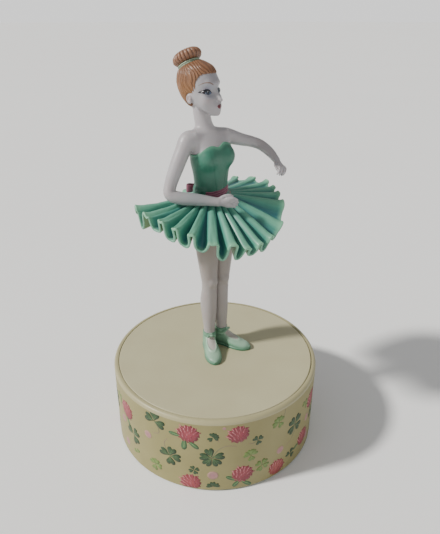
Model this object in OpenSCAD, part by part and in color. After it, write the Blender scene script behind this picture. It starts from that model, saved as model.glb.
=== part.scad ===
// Ballerina musical jewellery box: a round drum that holds a key-wound musical movement and a
// C-shaped jewellery tray, closed by a turning plate that carries a cast dancer.
// Millimetres, +Z up, origin on the table at the centre of the drum. The dancer faces -Y.

/* [Drum] */
// Outer diameter of the drum
drum_d = 110; // [109:1:116]
// Height of the drum from the table to the top of the dancer's plate
drum_h = 45; // [45:1:50]
// Thickness of the drum wall
wall = 3; // [2.5:0.5:3.5]
// Width of the fixed rim that is seen round the dancer's plate
rim_w = 2.3; // [2:0.1:2.6]
// Depth of the finger recess under the drum
recess_h = 13; // [12.5:0.5:13]

/* [Plate] */
// Thickness of the turning plate
plate_t = 3; // [3:0.5:4]
// Gap all round the turning plate
plate_gap = 0.3; // [0.2:0.05:0.5]

/* [Movement] */
// Teeth of the crown wheel on the spring barrel
crown_teeth = 42; // [42:1:42]
// Teeth of the pinion that drives the pinned cylinder
pinion_teeth = 12; // [12:1:12]
// Notes of the comb
notes = 18; // [12:1:18]

/* [Dancer] */
// Pleats round the tutu
pleats = 26; // [20:1:30]
// Radius of the tutu at its hem
tutu_r = 35; // [30:0.5:36]
// Wall thickness of the cast tutu
tutu_t = 1.4; // [1.2:0.1:2]

/* [Hidden] */
$fn = 64;

drum_r = drum_d / 2;
wrap_t = 0.25;
felt_t = 1;
cover_t = 2;
cover_z = recess_h;
bed_z = cover_z + cover_t;
shelf_t = 6;
shelf_z = bed_z;
tray_z = shelf_z + shelf_t;
plate_r = drum_r - rim_w - plate_gap;
plate_z = drum_h - plate_t;
ledge_z = plate_z - 0.6;
inner_r = drum_r - wall;
shelf_r = inner_r - 6.2;
tray_r = inner_r - 0.6;
tray_t = 1.2;
tray_top = ledge_z - 0.4;
roof_z = bed_z + 22.4;
housing_r = 16.5;
housing_x = 43;
housing_y = [-24.6, 24.2];

// Movement, from the barrel's axis: the cylinder lies along +X
bed_t = 2.5;
bed_top = bed_z + bed_t;
axis_z = bed_z + 14;
crown_module = 0.5;
crown_r = crown_module * crown_teeth / 2;
pinion_r = crown_module * pinion_teeth / 2;
crown_z = axis_z - pinion_r;
barrel_r = 12;
barrel_z = bed_z + 3.4;
cyl_r = 6.5;
cyl_x = 15.4;
note_pitch = 1.0;
cyl_len = notes * note_pitch + 0.6;
pin_h = 0.6;
gear_module = 0.3;
gear_teeth = 48;
gov_teeth = 12;
gear_x = cyl_x + cyl_len + 0.7;
gov_y = gear_module * (gear_teeth + gov_teeth) / 2;
wheel_teeth = 20;
wheel_module = 0.45;
worm_lead = PI * wheel_module;
worm_r = 1.2;
worm_e = 0.5;
wheel_x = gear_x + 2.5;
wheel_w = 1.6;
worm_x = wheel_x + wheel_w / 2;
worm_y = gov_y + wheel_module * wheel_teeth / 2 + worm_r + 0.1;
shaft_r = 2;
hex_af = 4.2;
hub_z = plate_z - 2.6;
cover_screw_r = 47.6;
tray_screw_a = [100, 180, 260];

// Dancer: heights above the plate, X to the dancer's left, -Y to the front
stand_z = drum_h;
leg_mid = 4.35;
right_ankle = [0.2, 5.3];
left_ankle = [2 * leg_mid - 0.2, 5.3];
ankle_z = 8.2;
toe_out = 26;
foot_len = 23;
waist = [3.0, 7.0, 88];
waist_r = [8.3, 6.7];
right_shoulder_x = -8.0;
left_shoulder_x = 13.2;
head_c = [-0.9, 10.9, 137.5];
neck_top = 126.1;
head_turn = 16;
bun_lean = 29;
bun_base = 9.6;

cream = [0.86, 0.83, 0.72];
skin = [0.86, 0.82, 0.80];
mint = [0.45, 0.72, 0.60];
brass = [0.80, 0.66, 0.36];
steel = [0.70, 0.71, 0.73];
rose = [0.72, 0.40, 0.50];
copper = [0.72, 0.47, 0.30];

// ---- Shared shapes ----

function flat(l) = [for (a = l) for (b = a) b];

// Points between the given ones on a Catmull-Rom curve, for rows of any length
function spline(p, steps) = [
    for (i = [0 : len(p) - 2]) for (k = [0 : steps - 1])
        let (t = k / steps, a = p[max(i - 1, 0)], b = p[i], c = p[i + 1], d = p[min(i + 2, len(p) - 1)])
            0.5 * (2 * b + (c - a) * t + (2 * a - 5 * b + 4 * c - d) * t * t
                + (3 * b - a - 3 * c + d) * t * t * t),
    p[len(p) - 1]
];

// A closed skin over rings of n points each
module skin_over(rings) {
    n = len(rings[0]);
    m = len(rings);
    polyhedron(
        points = flat(rings),
        faces = concat(
            [[for (i = [0 : n - 1]) i]],
            [[for (i = [0 : n - 1]) m * n - 1 - i]],
            [for (j = [0 : m - 2]) for (i = [0 : n - 1])
                [j * n + i, (j + 1) * n + i, (j + 1) * n + (i + 1) % n]],
            [for (j = [0 : m - 2]) for (i = [0 : n - 1])
                [j * n + i, (j + 1) * n + (i + 1) % n, j * n + (i + 1) % n]]
        ),
        convexity = 6
    );
}

// A closed band: rows of n points each that run round and meet, the last row with the first
module band_over(rows) {
    n = len(rows[0]);
    k = len(rows);
    polyhedron(
        points = flat(rows),
        faces = flat([for (j = [0 : k - 1]) for (i = [0 : n - 1])
            let (j2 = (j + 1) % k, i2 = (i + 1) % n)
                [[j * n + i, j2 * n + i2, j2 * n + i], [j * n + i, j * n + i2, j2 * n + i2]]]),
        convexity = 12
    );
}

// Level oval sections [x, y, z, half width, half depth]
module oval_loft(sections, n = 24, steps = 3)
    skin_over([for (s = spline(sections, steps))
        [for (i = [0 : n - 1]) [s[0] + s[3] * cos(-360 * i / n), s[1] + s[4] * sin(-360 * i / n), s[2]]]]);

// A limb along a path of [x, y, z, radius]; side is a direction that the path never follows
module limb(path, side, n = 16, steps = 3) {
    p = spline(path, steps);
    m = len(p);
    rings = [for (j = [0 : m - 1])
        let (
            a = p[max(j - 1, 0)], b = p[min(j + 1, m - 1)],
            d = [b[0] - a[0], b[1] - a[1], b[2] - a[2]],
            u = d / norm(d),
            e = cross(u, side),
            f = e / norm(e),
            g = cross(f, u)
        )
        [for (i = [0 : n - 1])
            [p[j][0], p[j][1], p[j][2]] + p[j][3] * (f * cos(360 * i / n) + g * sin(360 * i / n))]];
    skin_over(rings);
}

module ring(r_out, r_in, h)
    difference() {
        cylinder(r = r_out, h = h);
        translate([0, 0, -1]) cylinder(r = r_in, h = h + 2);
    }

// Cross-head screw, its head's seat at z = 0 and its shank going up
module screw(shank_r, shank_l, head_r, head_h)
    difference() {
        union() {
            translate([0, 0, -head_h]) cylinder(r = head_r, h = head_h, $fn = 32);
            cylinder(r = shank_r, h = shank_l, $fn = 32);
        }
        for (a = [0, 90]) rotate([0, 0, a])
            translate([-head_r * 0.6, -head_r * 0.12, -head_h - 1])
                cube([head_r * 1.2, head_r * 0.24, 1 + head_h * 0.5]);
    }

function involute(a) = tan(a) - a * PI / 180;

// Half the angle of a tooth at radius r
function tooth_half(teeth, base_r, share, r) =
    180 * share / teeth + (involute(20) - involute(acos(min(1, base_r / max(r, base_r))))) * 180 / PI;

// Involute gear outline with a tooth centred on angle 0; share is the tooth's part of the pitch
module gear_outline(teeth, module_mm, share = 0.44, add = 0.85, ded = 1.15) {
    pitch_r = teeth * module_mm / 2;
    base_r = pitch_r * cos(20);
    radii = [pitch_r - ded * module_mm, pitch_r - 0.3 * module_mm, pitch_r + 0.3 * module_mm,
        pitch_r + add * module_mm];
    polygon(flat([for (k = [0 : teeth - 1]) concat(
        [for (r = radii)
            let (a = 360 * k / teeth - tooth_half(teeth, base_r, share, r)) r * [cos(a), sin(a)]],
        [for (i = [3 : -1 : 0])
            let (r = radii[i], a = 360 * k / teeth + tooth_half(teeth, base_r, share, r))
                r * [cos(a), sin(a)]]
    )]));
}

// Turns a flat outline into a slab along +X, its x going to Y and its y to Z
module along_x(w) rotate([90, 0, 90]) linear_extrude(w) children();

// ---- Drum ----

module drum_shell() {
    edge = 1.6;
    color(cream) rotate_extrude($fn = 180) difference() {
        translate([inner_r, felt_t]) square([wall, drum_h - felt_t]);
        translate([inner_r - 1, ledge_z]) square([plate_r + plate_gap - inner_r + 1, drum_h]);
        translate([drum_r - wrap_t, 1.2]) square([wall, drum_h - 3.4]);
        translate([drum_r - edge, drum_h - edge]) difference() {
            square(edge + 1);
            circle(r = edge);
        }
    }
}

// Ring glued into the drum, which the cover, the movement and the tray are screwed to
module shelf_ring()
    color([0.86, 0.84, 0.77]) translate([0, 0, shelf_z]) difference() {
        cylinder(r = inner_r - 0.02, h = shelf_t, $fn = 180);
        translate([0, 0, -1]) cylinder(r = shelf_r, h = shelf_t + 2, $fn = 180);
        for (a = [0 : 120 : 359]) rotate([0, 0, a + 30])
            translate([cover_screw_r, 0, -1]) cylinder(r = 1.05, h = 6, $fn = 32);
        for (a = tray_screw_a) rotate([0, 0, a])
            translate([cover_screw_r, 0, shelf_t - 3.4]) cylinder(r = 0.8, h = 5, $fn = 32);
    }

module printed_wrap()
    color([0.90, 0.87, 0.74]) translate([0, 0, 1.2])
        rotate_extrude($fn = 180) translate([drum_r - wrap_t, 0]) square([wrap_t, drum_h - 3.4]);

module felt_foot_ring()
    color([0.30, 0.45, 0.38]) rotate_extrude($fn = 180)
        translate([inner_r + 0.2, 0]) square([wall - 0.9, felt_t]);

module bottom_cover()
    color([0.80, 0.77, 0.68]) translate([0, 0, cover_z]) difference() {
        cylinder(r = inner_r - 0.2, h = cover_t, $fn = 180);
        translate([0, 0, -1]) cylinder(r = 4.5, h = cover_t + 2);
        for (a = [0 : 120 : 359]) rotate([0, 0, a + 30])
            translate([cover_screw_r, 0, -1]) cylinder(r = 1.5, h = cover_t + 2, $fn = 32);
        for (p = bed_screws) translate([p.x, p.y, -1]) cylinder(r = 1.4, h = cover_t + 2, $fn = 32);
    }

module cover_screws()
    color(steel) for (a = [0 : 120 : 359]) rotate([0, 0, a + 30])
        translate([cover_screw_r, 0, cover_z]) screw(1.0, cover_t + 4.5, 2.4, 1.2);

// Outline of the movement's housing, grown by g
module housing_outline(g) {
    circle(r = housing_r + g);
    translate([0, housing_y[0] - g])
        square([housing_x + g, housing_y[1] - housing_y[0] + 2 * g]);
}

// The tray's plan: a disc, less the housing on the movement's side
module jewel_tray() {
    roof_t = 1;
    color([0.93, 0.90, 0.84]) difference() {
        union() {
            translate([0, 0, tray_z]) cylinder(r = tray_r, h = tray_top - tray_z, $fn = 180);
        }
        // the compartment
        translate([0, 0, tray_z + tray_t]) linear_extrude(drum_h) difference() {
            circle(r = tray_r - tray_t, $fn = 180);
            housing_outline(tray_t);
        }
        // the movement's room
        translate([0, 0, tray_z - 1]) linear_extrude(roof_z - tray_z + 1) intersection() {
            circle(r = tray_r - tray_t, $fn = 180);
            housing_outline(0);
        }
        // above the roof
        translate([0, 0, roof_z + roof_t]) linear_extrude(drum_h) intersection() {
            circle(r = tray_r - tray_t, $fn = 180);
            housing_outline(tray_t + 1);
        }
        translate([0, 0, roof_z - 1]) cylinder(r = shaft_r + 1.2, h = 4);
        for (a = tray_screw_a) rotate([0, 0, a])
            translate([cover_screw_r, 0, tray_z - 1]) cylinder(r = 1.1, h = 4, $fn = 32);
    }
}

module tray_felt()
    color([0.75, 0.45, 0.52]) translate([0, 0, tray_z + tray_t]) linear_extrude(0.8) difference() {
        circle(r = tray_r - tray_t - 0.1, $fn = 180);
        housing_outline(tray_t + 0.1);
        for (a = tray_screw_a) rotate([0, 0, a]) translate([cover_screw_r, 0]) circle(r = 2.1, $fn = 32);
    }

module tray_screws()
    color(steel) for (a = tray_screw_a) rotate([0, 0, a])
        translate([cover_screw_r, 0, tray_z + tray_t]) rotate([180, 0, 0]) screw(0.75, 3.8, 1.7, 0.8);

// ---- Movement, fixed parts ----

bed_x = [-13.4, worm_x + 3.8];
bed_y = [-23.2, 22.6];
bed_screws = [[-9, -18], [-9, 17], [26, 17]];
comb_y = -(cyl_r + pin_h + 0.15);
comb_root = comb_y - 8.4;

module bedplate()
    color([0.68, 0.68, 0.66]) difference() {
        union() {
            intersection() {
                translate([bed_x[0], bed_y[0], bed_z])
                    cube([bed_x[1] - bed_x[0], bed_y[1] - bed_y[0], bed_t]);
                cylinder(r = shelf_r - 0.5, h = drum_h, $fn = 180);
            }
            translate([cyl_x - 1, comb_root - 6.6, bed_z]) cube([cyl_len + 2, 6.6, axis_z - 0.5 - bed_z]);
            for (p = bed_screws) translate([p.x, p.y, bed_z]) cylinder(r = 2.8, h = 5, $fn = 32);
        }
        translate([0, 0, bed_z - 1]) cylinder(r = 2.05, h = bed_t + 2);
        for (p = bed_screws) translate([p.x, p.y, bed_z - 1]) cylinder(r = 1.05, h = 5, $fn = 32);
        for (x = [4, cyl_len - 4]) translate([cyl_x + x, comb_root - 3.8, axis_z - 6])
            cylinder(r = 0.85, h = 8, $fn = 32);
        translate([worm_x, worm_y, bed_z + 1]) cylinder(r = 0.55, h = 4, $fn = 32);
        translate([-12.2, 8.4, bed_z - 1]) cylinder(r = 0.85, h = 5, $fn = 32);
    }

module movement_screws()
    color(steel) for (p = bed_screws) translate([p.x, p.y, cover_z]) screw(1.0, cover_t + 3.6, 2.2, 1.1);

// Two upright ears, each with a bearing hole for the cylinder's arbor
module cylinder_bracket() {
    left_x = cyl_x - 2.2;
    right_x = gear_x + 1.7;
    color(brass) for (x = [left_x, right_x]) difference() {
        translate([x, -3, bed_top]) cube([1.2, 6, axis_z + 3 - bed_top]);
        translate([x - 1, 0, axis_z]) rotate([0, 90, 0]) cylinder(r = 1.05, h = 4);
    }
}

// Ears for the governor's arbor and an arm over the worm
module governor_bracket() {
    arm_z = axis_z + 7;
    color(brass) {
        difference() {
            translate([gear_x - 2.2, gov_y - 1.2, bed_top]) cube([1.0, 2.9, axis_z + 2 - bed_top]);
            translate([gear_x - 3, gov_y, axis_z]) rotate([0, 90, 0]) cylinder(r = 0.65, h = 3, $fn = 32);
        }
        difference() {
            translate([wheel_x + wheel_w + 0.9, gov_y - 2.4, bed_top]) cube([1.0, 3.4, axis_z + 2 - bed_top]);
            translate([wheel_x + wheel_w, gov_y, axis_z]) rotate([0, 90, 0]) cylinder(r = 0.65, h = 3, $fn = 32);
        }
        difference() {
            union() {
                translate([worm_x - 2.2, worm_y + 5.4, bed_top]) cube([3.6, 1.4, arm_z + 1 - bed_top]);
                translate([worm_x - 1.6, worm_y - 1.8, arm_z]) cube([3.0, 8.6, 1]);
            }
            translate([worm_x, worm_y, arm_z - 1]) cylinder(r = 0.55, h = 3, $fn = 32);
        }
    }
}

module tone_comb()
    color([0.62, 0.64, 0.68]) difference() {
        union() {
            translate([cyl_x - 0.6, comb_root - 6.4, axis_z - 0.5]) cube([cyl_len + 1.2, 6.4, 1]);
            for (i = [0 : notes - 1])
                translate([cyl_x + 0.3 + (i + 0.14) * note_pitch, comb_root - 0.1, axis_z - 0.3])
                    cube([0.72 * note_pitch, comb_y - comb_root + 0.1, 0.6]);
        }
        for (x = [4, cyl_len - 4]) translate([cyl_x + x, comb_root - 3.8, axis_z - 2])
            cylinder(r = 1.1, h = 4, $fn = 32);
    }

module comb_screws()
    color(steel) for (x = [4, cyl_len - 4])
        translate([cyl_x + x, comb_root - 3.8, axis_z + 0.5]) rotate([180, 0, 0]) screw(0.8, 5.2, 1.8, 1);

// Spring click that rides on the ratchet wheel
module ratchet_click()
    color(steel) union() {
        translate([-12.2, 8.4, bed_z + 0.4]) cylinder(r = 0.8, h = bed_t - 0.4 + 0.8, $fn = 32);
        translate([-13, 0.4, bed_top + 0.05]) cube([0.7, 8.8, 0.7]);
        translate([-13, -0.4, bed_top + 0.05]) cube([7.2, 0.8, 0.7]);
    }

// ---- Winding key ----

arbor_r = 2;
key_z = 1.6;

module winding_key() {
    wing_r = 4.6;
    color(brass) difference() {
        union() {
            translate([0, 0, key_z + 2.2]) cylinder(r = 3.4, h = cover_z - key_z - 3.4);
            for (s = [-1, 1]) translate([s * 7.6, 0.8, key_z + wing_r]) rotate([90, 0, 0])
                ring(wing_r, 2.0, 1.6);
            translate([-5, -0.8, key_z + 2.6]) cube([10, 1.6, 4]);
        }
        translate([0, 0, key_z + 3.6]) cylinder(r = arbor_r + 0.04, h = 20);
    }
}

module winding_arbor()
    color(steel) union() {
        translate([0, 0, key_z + 3.6]) cylinder(r = arbor_r, h = barrel_z + 5 - key_z - 3.6);
        translate([0, 0, barrel_z + 0.8]) cylinder(r = 2.6, h = 4.2);
    }

module ratchet_wheel()
    color(brass) translate([0, 0, bed_top + 0.05]) difference() {
        linear_extrude(0.75) polygon([for (k = [0 : 17])
            for (q = [[5.6, 0], [4.8, 1]]) q[0] * [cos(20 * k + q[1]), sin(20 * k + q[1])]]);
        translate([0, 0, -1]) cylinder(r = arbor_r + 0.02, h = 3);
    }

// ---- Spring barrel and output shaft ----

spring_h = crown_z - 1.6 - barrel_z - 1.4;

module spring_barrel()
    color(brass) difference() {
        translate([0, 0, barrel_z]) cylinder(r = barrel_r, h = crown_z - 1.6 - barrel_z, $fn = 96);
        translate([0, 0, barrel_z + 0.7]) cylinder(r = barrel_r - 0.6, h = 20, $fn = 96);
        translate([0, 0, barrel_z - 1]) cylinder(r = arbor_r + 0.1, h = 4);
    }

// A flat strip wound in half turns that step outwards
module mainspring() {
    strip = 0.45;
    step = 0.95;
    turns = 8;
    first_r = 3.6;
    color([0.45, 0.47, 0.52]) translate([0, 0, barrel_z + 1])
        for (k = [0 : 2 * turns - 1])
            translate([k % 2 == 0 ? 0 : step / 4, 0, 0])
                rotate([0, 0, k % 2 == 0 ? 0 : 180])
                    rotate_extrude(angle = 180, $fn = 64)
                        translate([first_r + k * step / 4, 0]) square([strip, spring_h - 0.4]);
}

// Disc that closes the barrel, with radial teeth standing up near its edge
module crown_wheel() {
    tooth_w = 2.0;
    inner = crown_r - tooth_w / 2;
    outer = crown_r + tooth_w / 2;
    half_low = 180 / crown_teeth * 0.50;
    half_high = 180 / crown_teeth * 0.24;
    root_z = crown_z - 0.62;
    color(brass) union() {
        translate([0, 0, crown_z - 1.6]) difference() {
            cylinder(r = barrel_r, h = 0.98, $fn = 96);
            translate([0, 0, -1]) cylinder(r = shaft_r - 0.4, h = 4);
        }
        for (k = [0 : crown_teeth - 1]) rotate([0, 0, 360 * k / crown_teeth])
            polyhedron(
                points = [
                    for (q = [[inner, half_low, root_z - 0.1], [outer, half_low, root_z - 0.1],
                        [inner, half_high, crown_z + 0.42], [outer, half_high, crown_z + 0.42]])
                        for (s = [-1, 1]) [q[0] * cos(q[1]), s * q[0] * sin(q[1]), q[2]]
                ],
                faces = [[0, 2, 3, 1], [4, 5, 7, 6], [0, 1, 5, 4], [2, 6, 7, 3], [0, 4, 6, 2], [1, 3, 7, 5]]
            );
    }
}

module output_shaft()
    color(steel) union() {
        translate([0, 0, crown_z - 0.62]) cylinder(r = 4, h = 1.2);
        translate([0, 0, crown_z - 1.6]) cylinder(r = shaft_r - 0.45, h = 1.2);
        translate([0, 0, crown_z - 0.62]) cylinder(r = shaft_r, h = hub_z - crown_z + 0.22);
        translate([0, 0, hub_z - 0.6]) cylinder(d = hex_af / cos(30), h = 4.4, $fn = 6);
    }

// ---- Pinned cylinder ----

module pinned_cylinder()
    color(brass) translate([cyl_x, 0, axis_z]) rotate([0, 90, 0]) difference() {
        cylinder(r = cyl_r, h = cyl_len, $fn = 96);
        translate([0, 0, 0.8]) cylinder(r = cyl_r - 0.7, h = cyl_len - 1.6, $fn = 96);
        translate([0, 0, -1]) cylinder(r = 1.02, h = cyl_len + 2);
    }

module cylinder_pins()
    color(steel) for (i = [0 : notes - 1]) for (j = [0 : 3])
        translate([cyl_x + 0.3 + (i + 0.5) * note_pitch, 0, axis_z])
            rotate([(137.5 * i + 91 * j + 17 * (i % 3) * j) % 360, 0, 0])
                translate([0, 0, cyl_r]) cylinder(r = 0.2, h = pin_h, $fn = 8);

module cylinder_arbor()
    color(steel) translate([crown_r - 1.2, 0, axis_z]) rotate([0, 90, 0])
        cylinder(r = 1, h = gear_x + 3.4 - crown_r + 1.2);

module cylinder_pinion()
    color(brass) difference() {
        translate([crown_r - 0.8, 0, axis_z]) along_x(1.6)
            rotate(270 + 180 / pinion_teeth) gear_outline(pinion_teeth, crown_module, share = 0.40);
        translate([crown_r - 2, 0, axis_z]) rotate([0, 90, 0]) cylinder(r = 1.01, h = 5);
    }

module cylinder_gear()
    color(brass) difference() {
        translate([gear_x, 0, axis_z]) along_x(1.2) gear_outline(gear_teeth, gear_module, share = 0.42);
        translate([gear_x - 1, 0, axis_z]) rotate([0, 90, 0]) cylinder(r = 1.01, h = 4);
    }

// ---- Governor ----

module governor_arbor()
    color(steel) translate([gear_x - 2.4, gov_y, axis_z]) rotate([0, 90, 0])
        cylinder(r = 0.6, h = wheel_x + wheel_w + 2.1 - gear_x + 2.4, $fn = 32);

module governor_pinion()
    color(brass) difference() {
        translate([gear_x - 0.1, gov_y, axis_z]) along_x(1.4)
            rotate(180 + 180 / gov_teeth) gear_outline(gov_teeth, gear_module, share = 0.42);
        translate([gear_x - 1, gov_y, axis_z]) rotate([0, 90, 0]) cylinder(r = 0.61, h = 4, $fn = 32);
    }

module worm_wheel()
    color(brass) difference() {
        translate([wheel_x, gov_y, axis_z]) along_x(wheel_w)
            gear_outline(wheel_teeth, wheel_module, share = 0.34, add = 0.95, ded = 1.3);
        translate([wheel_x - 1, gov_y, axis_z]) rotate([0, 90, 0]) cylinder(r = 0.61, h = 5, $fn = 32);
    }

// The worm is an off-centre round bar twisted about the arbor's line
module governor_worm() {
    turns = 5;
    length = turns * worm_lead;
    color(steel) union() {
        translate([worm_x, worm_y, axis_z - length / 2]) rotate([0, 0, -90])
            linear_extrude(length, twist = -360 * turns, slices = 12 * turns, $fn = 12)
                translate([worm_e, 0]) circle(r = worm_r, $fn = 12);
        translate([worm_x, worm_y, bed_z + 1.1]) cylinder(r = 0.5, h = axis_z + 7.8 - bed_z - 1.1, $fn = 32);
    }
}

module air_vane() {
    vane_z = bed_top + 1.2;
    color([0.85, 0.85, 0.87]) difference() {
        translate([worm_x, worm_y, vane_z]) union() {
            cylinder(r = 1.2, h = 4, $fn = 32);
            for (a = [35, 215]) rotate([0, 0, a]) translate([0.6, -0.25, 0]) cube([3.8, 0.5, 4]);
        }
        translate([worm_x, worm_y, vane_z - 1]) cylinder(r = 0.51, h = 6, $fn = 32);
    }
}

// ---- Turning plate ----

foot_pin_spots = [for (f = [[right_ankle, -1], [left_ankle, 1]])
    f[0] + 5.5 * [f[1] * sin(toe_out), -cos(toe_out)]];
hub_screw_a = [60, 180, 300];

module turning_plate()
    color(cream) difference() {
        rotate_extrude($fn = 180) difference() {
            translate([0, plate_z]) square([plate_r, plate_t]);
            translate([plate_r - 0.4, drum_h - 0.4]) difference() {
                square(1);
                circle(r = 0.4, $fn = 24);
            }
        }
        translate([0, 0, plate_z - 1]) cylinder(r = 5.05, h = 2.6);
        for (a = hub_screw_a) rotate([0, 0, a]) translate([7, 0, plate_z - 1])
            cylinder(r = 0.8, h = 2.8, $fn = 32);
        for (p = foot_pin_spots) translate([p.x, p.y, plate_z + 1.8]) cylinder(r = 0.81, h = 5, $fn = 32);
    }

module drive_hub()
    color([0.80, 0.80, 0.78]) difference() {
        union() {
            translate([0, 0, hub_z]) cylinder(r = 9, h = plate_z - hub_z);
            translate([0, 0, hub_z]) cylinder(r = 5, h = plate_z - hub_z + 1.5);
        }
        translate([0, 0, hub_z - 1]) cylinder(d = (hex_af + 0.16) / cos(30), h = 4.95, $fn = 6);
        for (a = hub_screw_a) rotate([0, 0, a]) translate([7, 0, hub_z - 1])
            cylinder(r = 1.05, h = 5, $fn = 32);
    }

module hub_screws()
    color(steel) for (a = hub_screw_a) rotate([0, 0, a]) translate([7, 0, hub_z])
        screw(0.75, plate_z - hub_z + 1.5, 1.6, 0.7);

module foot_pins()
    color(steel) for (p = foot_pin_spots)
        translate([p.x, p.y, plate_z + 1.9]) cylinder(r = 0.8, h = plate_t + 0.5, $fn = 32);

// ---- Dancer ----

// A slipper along -Y with its heel behind the ankle; s is -1 for the right foot, 1 for the left
module slipper(ankle, s) {
    heel = 5.2;
    toe = foot_len - heel;
    color(mint) difference() {
        translate([ankle.x, ankle.y, stand_z]) rotate([0, 0, s * toe_out])
            skin_over([for (q = spline([
                    // distance forward, half width, height
                    [-heel, 0.9, 4.2], [-heel + 0.9, 2.4, 6.6], [-3.2, 3.2, 8.2], [0, 3.45, 8.2], [3.2, 3.5, 8.0],
                    [6, 3.9, 6.4], [9.5, 4.3, 4.9], [13, 4.0, 3.8], [15.8, 2.9, 3.1], [toe, 0.9, 2.0]
                ], 2))
                [for (i = [0 : 15]) let (a = 360 * i / 16)
                    [q[1] * cos(a), -q[0], max(0, q[2] * (0.42 + 0.58 * sin(a)))]]]);
        for (p = foot_pin_spots) translate([p.x, p.y, stand_z - 1]) cylinder(r = 0.9, h = 3.6, $fn = 24);
        between(stand_z - 1, stand_z + 20, s < 0 ? leg_mid - 0.04 : -80, s < 0 ? 80 : leg_mid + 0.04);
    }
}

module right_shoe() slipper(right_ankle, -1);
module left_shoe() slipper(left_ankle, 1);

hip_cut = stand_z + 74;
waist_cut = stand_z + waist.z;

// The half space between two heights, x from x0 to x1
module between(z0, z1, x0 = -80, x1 = 80)
    translate([x0, -80, z0]) cube([x1 - x0, 160, z1 - z0]);

module right_leg()
    color(skin) intersection() {
        translate([0, 0, stand_z]) oval_loft([[0.2, 5.3, ankle_z, 3.1, 3.3], [0.2, 5.3, 13, 3.05, 3.2],
            [0.5, 5.8, 22, 3.8, 4.2], [0.6, 6.0, 29, 4.05, 4.5], [0.6, 5.3, 39, 3.8, 3.9], [0.3, 5.3, 46, 4.3, 4.5],
            [-0.3, 5.7, 60, 5.5, 5.7], [-0.6, 6.0, 76, 5.9, 6.6]], n = 20);
        between(stand_z + ankle_z + 0.12, hip_cut - 0.02, -80, leg_mid - 0.01);
    }

module left_leg()
    color(skin) translate([2 * leg_mid, 0, 0]) mirror([1, 0, 0]) right_leg();

module hips()
    color(skin) intersection() {
        translate([0, 0, stand_z]) oval_loft([[4.3, 5.9, 73, 9.8, 6.6], [4.0, 6.1, 77, 10.6, 7.6], [3.5, 6.6, 81, 10.2, 7.6],
            [3.1, 6.9, 84.6, 8.8, 6.9], [3.0, 7.0, 87, 8.3, 6.7], [3.0, 7.0, 90, 8.3, 6.7]], n = 28);
        between(hip_cut, waist_cut - 0.02);
    }

module trunk()
    translate([0, 0, stand_z]) oval_loft([[3.0, 7.0, 85, 8.3, 6.7], [3.0, 7.0, 88, 8.3, 6.7], [3.0, 7.0, 93.4, 8.3, 6.7],
        [2.9, 6.9, 99, 8.9, 7.1], [2.8, 6.7, 104, 10.0, 8.2], [2.6, 6.6, 108, 10.3, 8.7], [2.3, 7.2, 112, 10.6, 7.6],
        [2.0, 8.0, 116, 10.4, 5.8], [1.6, 8.8, 118.4, 7.6, 4.8], [1.3, 9.4, 120, 5.0, 4.3], [1.0, 9.9, 122, 4.15, 4.0],
        [0.6, 10.3, 125, 4.0, 3.9], [0.4, 10.6, 128, 4.1, 4.1]], n = 28);

// Everything under the bodice's neckline, which is a little higher at the front
module under_neckline(g)
    translate([0, 6, stand_z + 110.6 + g]) rotate([-10, 0, 0]) translate([-50, -50, -60]) cube([100, 100, 60]);

module bodice()
    color(mint) intersection() {
        trunk();
        under_neckline(0);
        between(waist_cut, stand_z + 130, right_shoulder_x, left_shoulder_x);
    }

module shoulders()
    color(skin) difference() {
        intersection() {
            trunk();
            between(stand_z + 100, stand_z + neck_top - 0.02, right_shoulder_x, left_shoulder_x);
        }
        under_neckline(0.02);
    }

right_arm_path = [[-5.5, 8.2, 116.2, 3.6], [-9.2, 8.4, 115.4, 3.9], [-12.4, 8.4, 110.6, 3.4], [-15.9, 8.5, 104.4, 3.2],
    [-19.4, 8.6, 96.6, 2.8], [-20.6, 7.4, 92.4, 2.7], [-17.2, 4.4, 90.8, 2.7], [-10.6, -0.8, 90.0, 2.4],
    [-3.6, -6.0, 88.6, 2.0]];
left_arm_path = [[10.4, 9.2, 115.2, 3.6], [13.6, 9.2, 114.6, 3.7], [22.9, 8.3, 111.6, 3.0], [29.2, 7.6, 109.8, 2.7],
    [32.6, 4.6, 108.2, 2.6], [33.6, -1.0, 105.6, 2.4], [33.0, -6.5, 102.8, 1.9]];

module right_arm()
    color(skin) difference() {
        translate([0, 0, stand_z]) limb(right_arm_path, [-0.55, -0.75, 0.28]);
        between(stand_z + 100, stand_z + 200, right_shoulder_x - 0.02, 80);
    }

module right_hand()
    color(skin) translate([-3.4, -6.15, stand_z + 88.4]) rotate([0, 0, -33])
        skin_over([for (q = spline([[0, 1.9, 1.9, 0], [1.6, 1.7, 2.4, -0.2], [4.2, 1.5, 2.8, -0.8], [7, 1.4, 2.6, -1.1],
                [9, 1.1, 1.8, -0.8], [10.4, 0.6, 0.8, -0.4]], 2))
            [for (i = [0 : 15]) [q[0], q[1] * cos(360 * i / 16), q[3] + q[2] * sin(360 * i / 16)]]]);

module left_arm()
    color(skin) intersection() {
        translate([0, 0, stand_z]) limb(left_arm_path, [-0.23, 0.41, -0.86]);
        between(stand_z, stand_z + 200, left_shoulder_x + 0.02, 80);
    }

module left_hand()
    color(skin) translate([0, 0, stand_z]) limb([[32.97, -6.78, 102.66, 1.7], [32.85, -7.85, 102.1, 2.0], [32.3, -8.9, 101.6, 2.2],
        [31.0, -10.8, 100.9, 2.4], [29.6, -13.0, 100.0, 1.9], [28.8, -14.6, 99.2, 0.8]], [-0.23, 0.41, -0.86], n = 14);

// ---- Tutu ----

function fold(a) = sin(pleats * a + 38 * sin(3 * a + 20) + 30 * sin(5 * a + 75));

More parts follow.
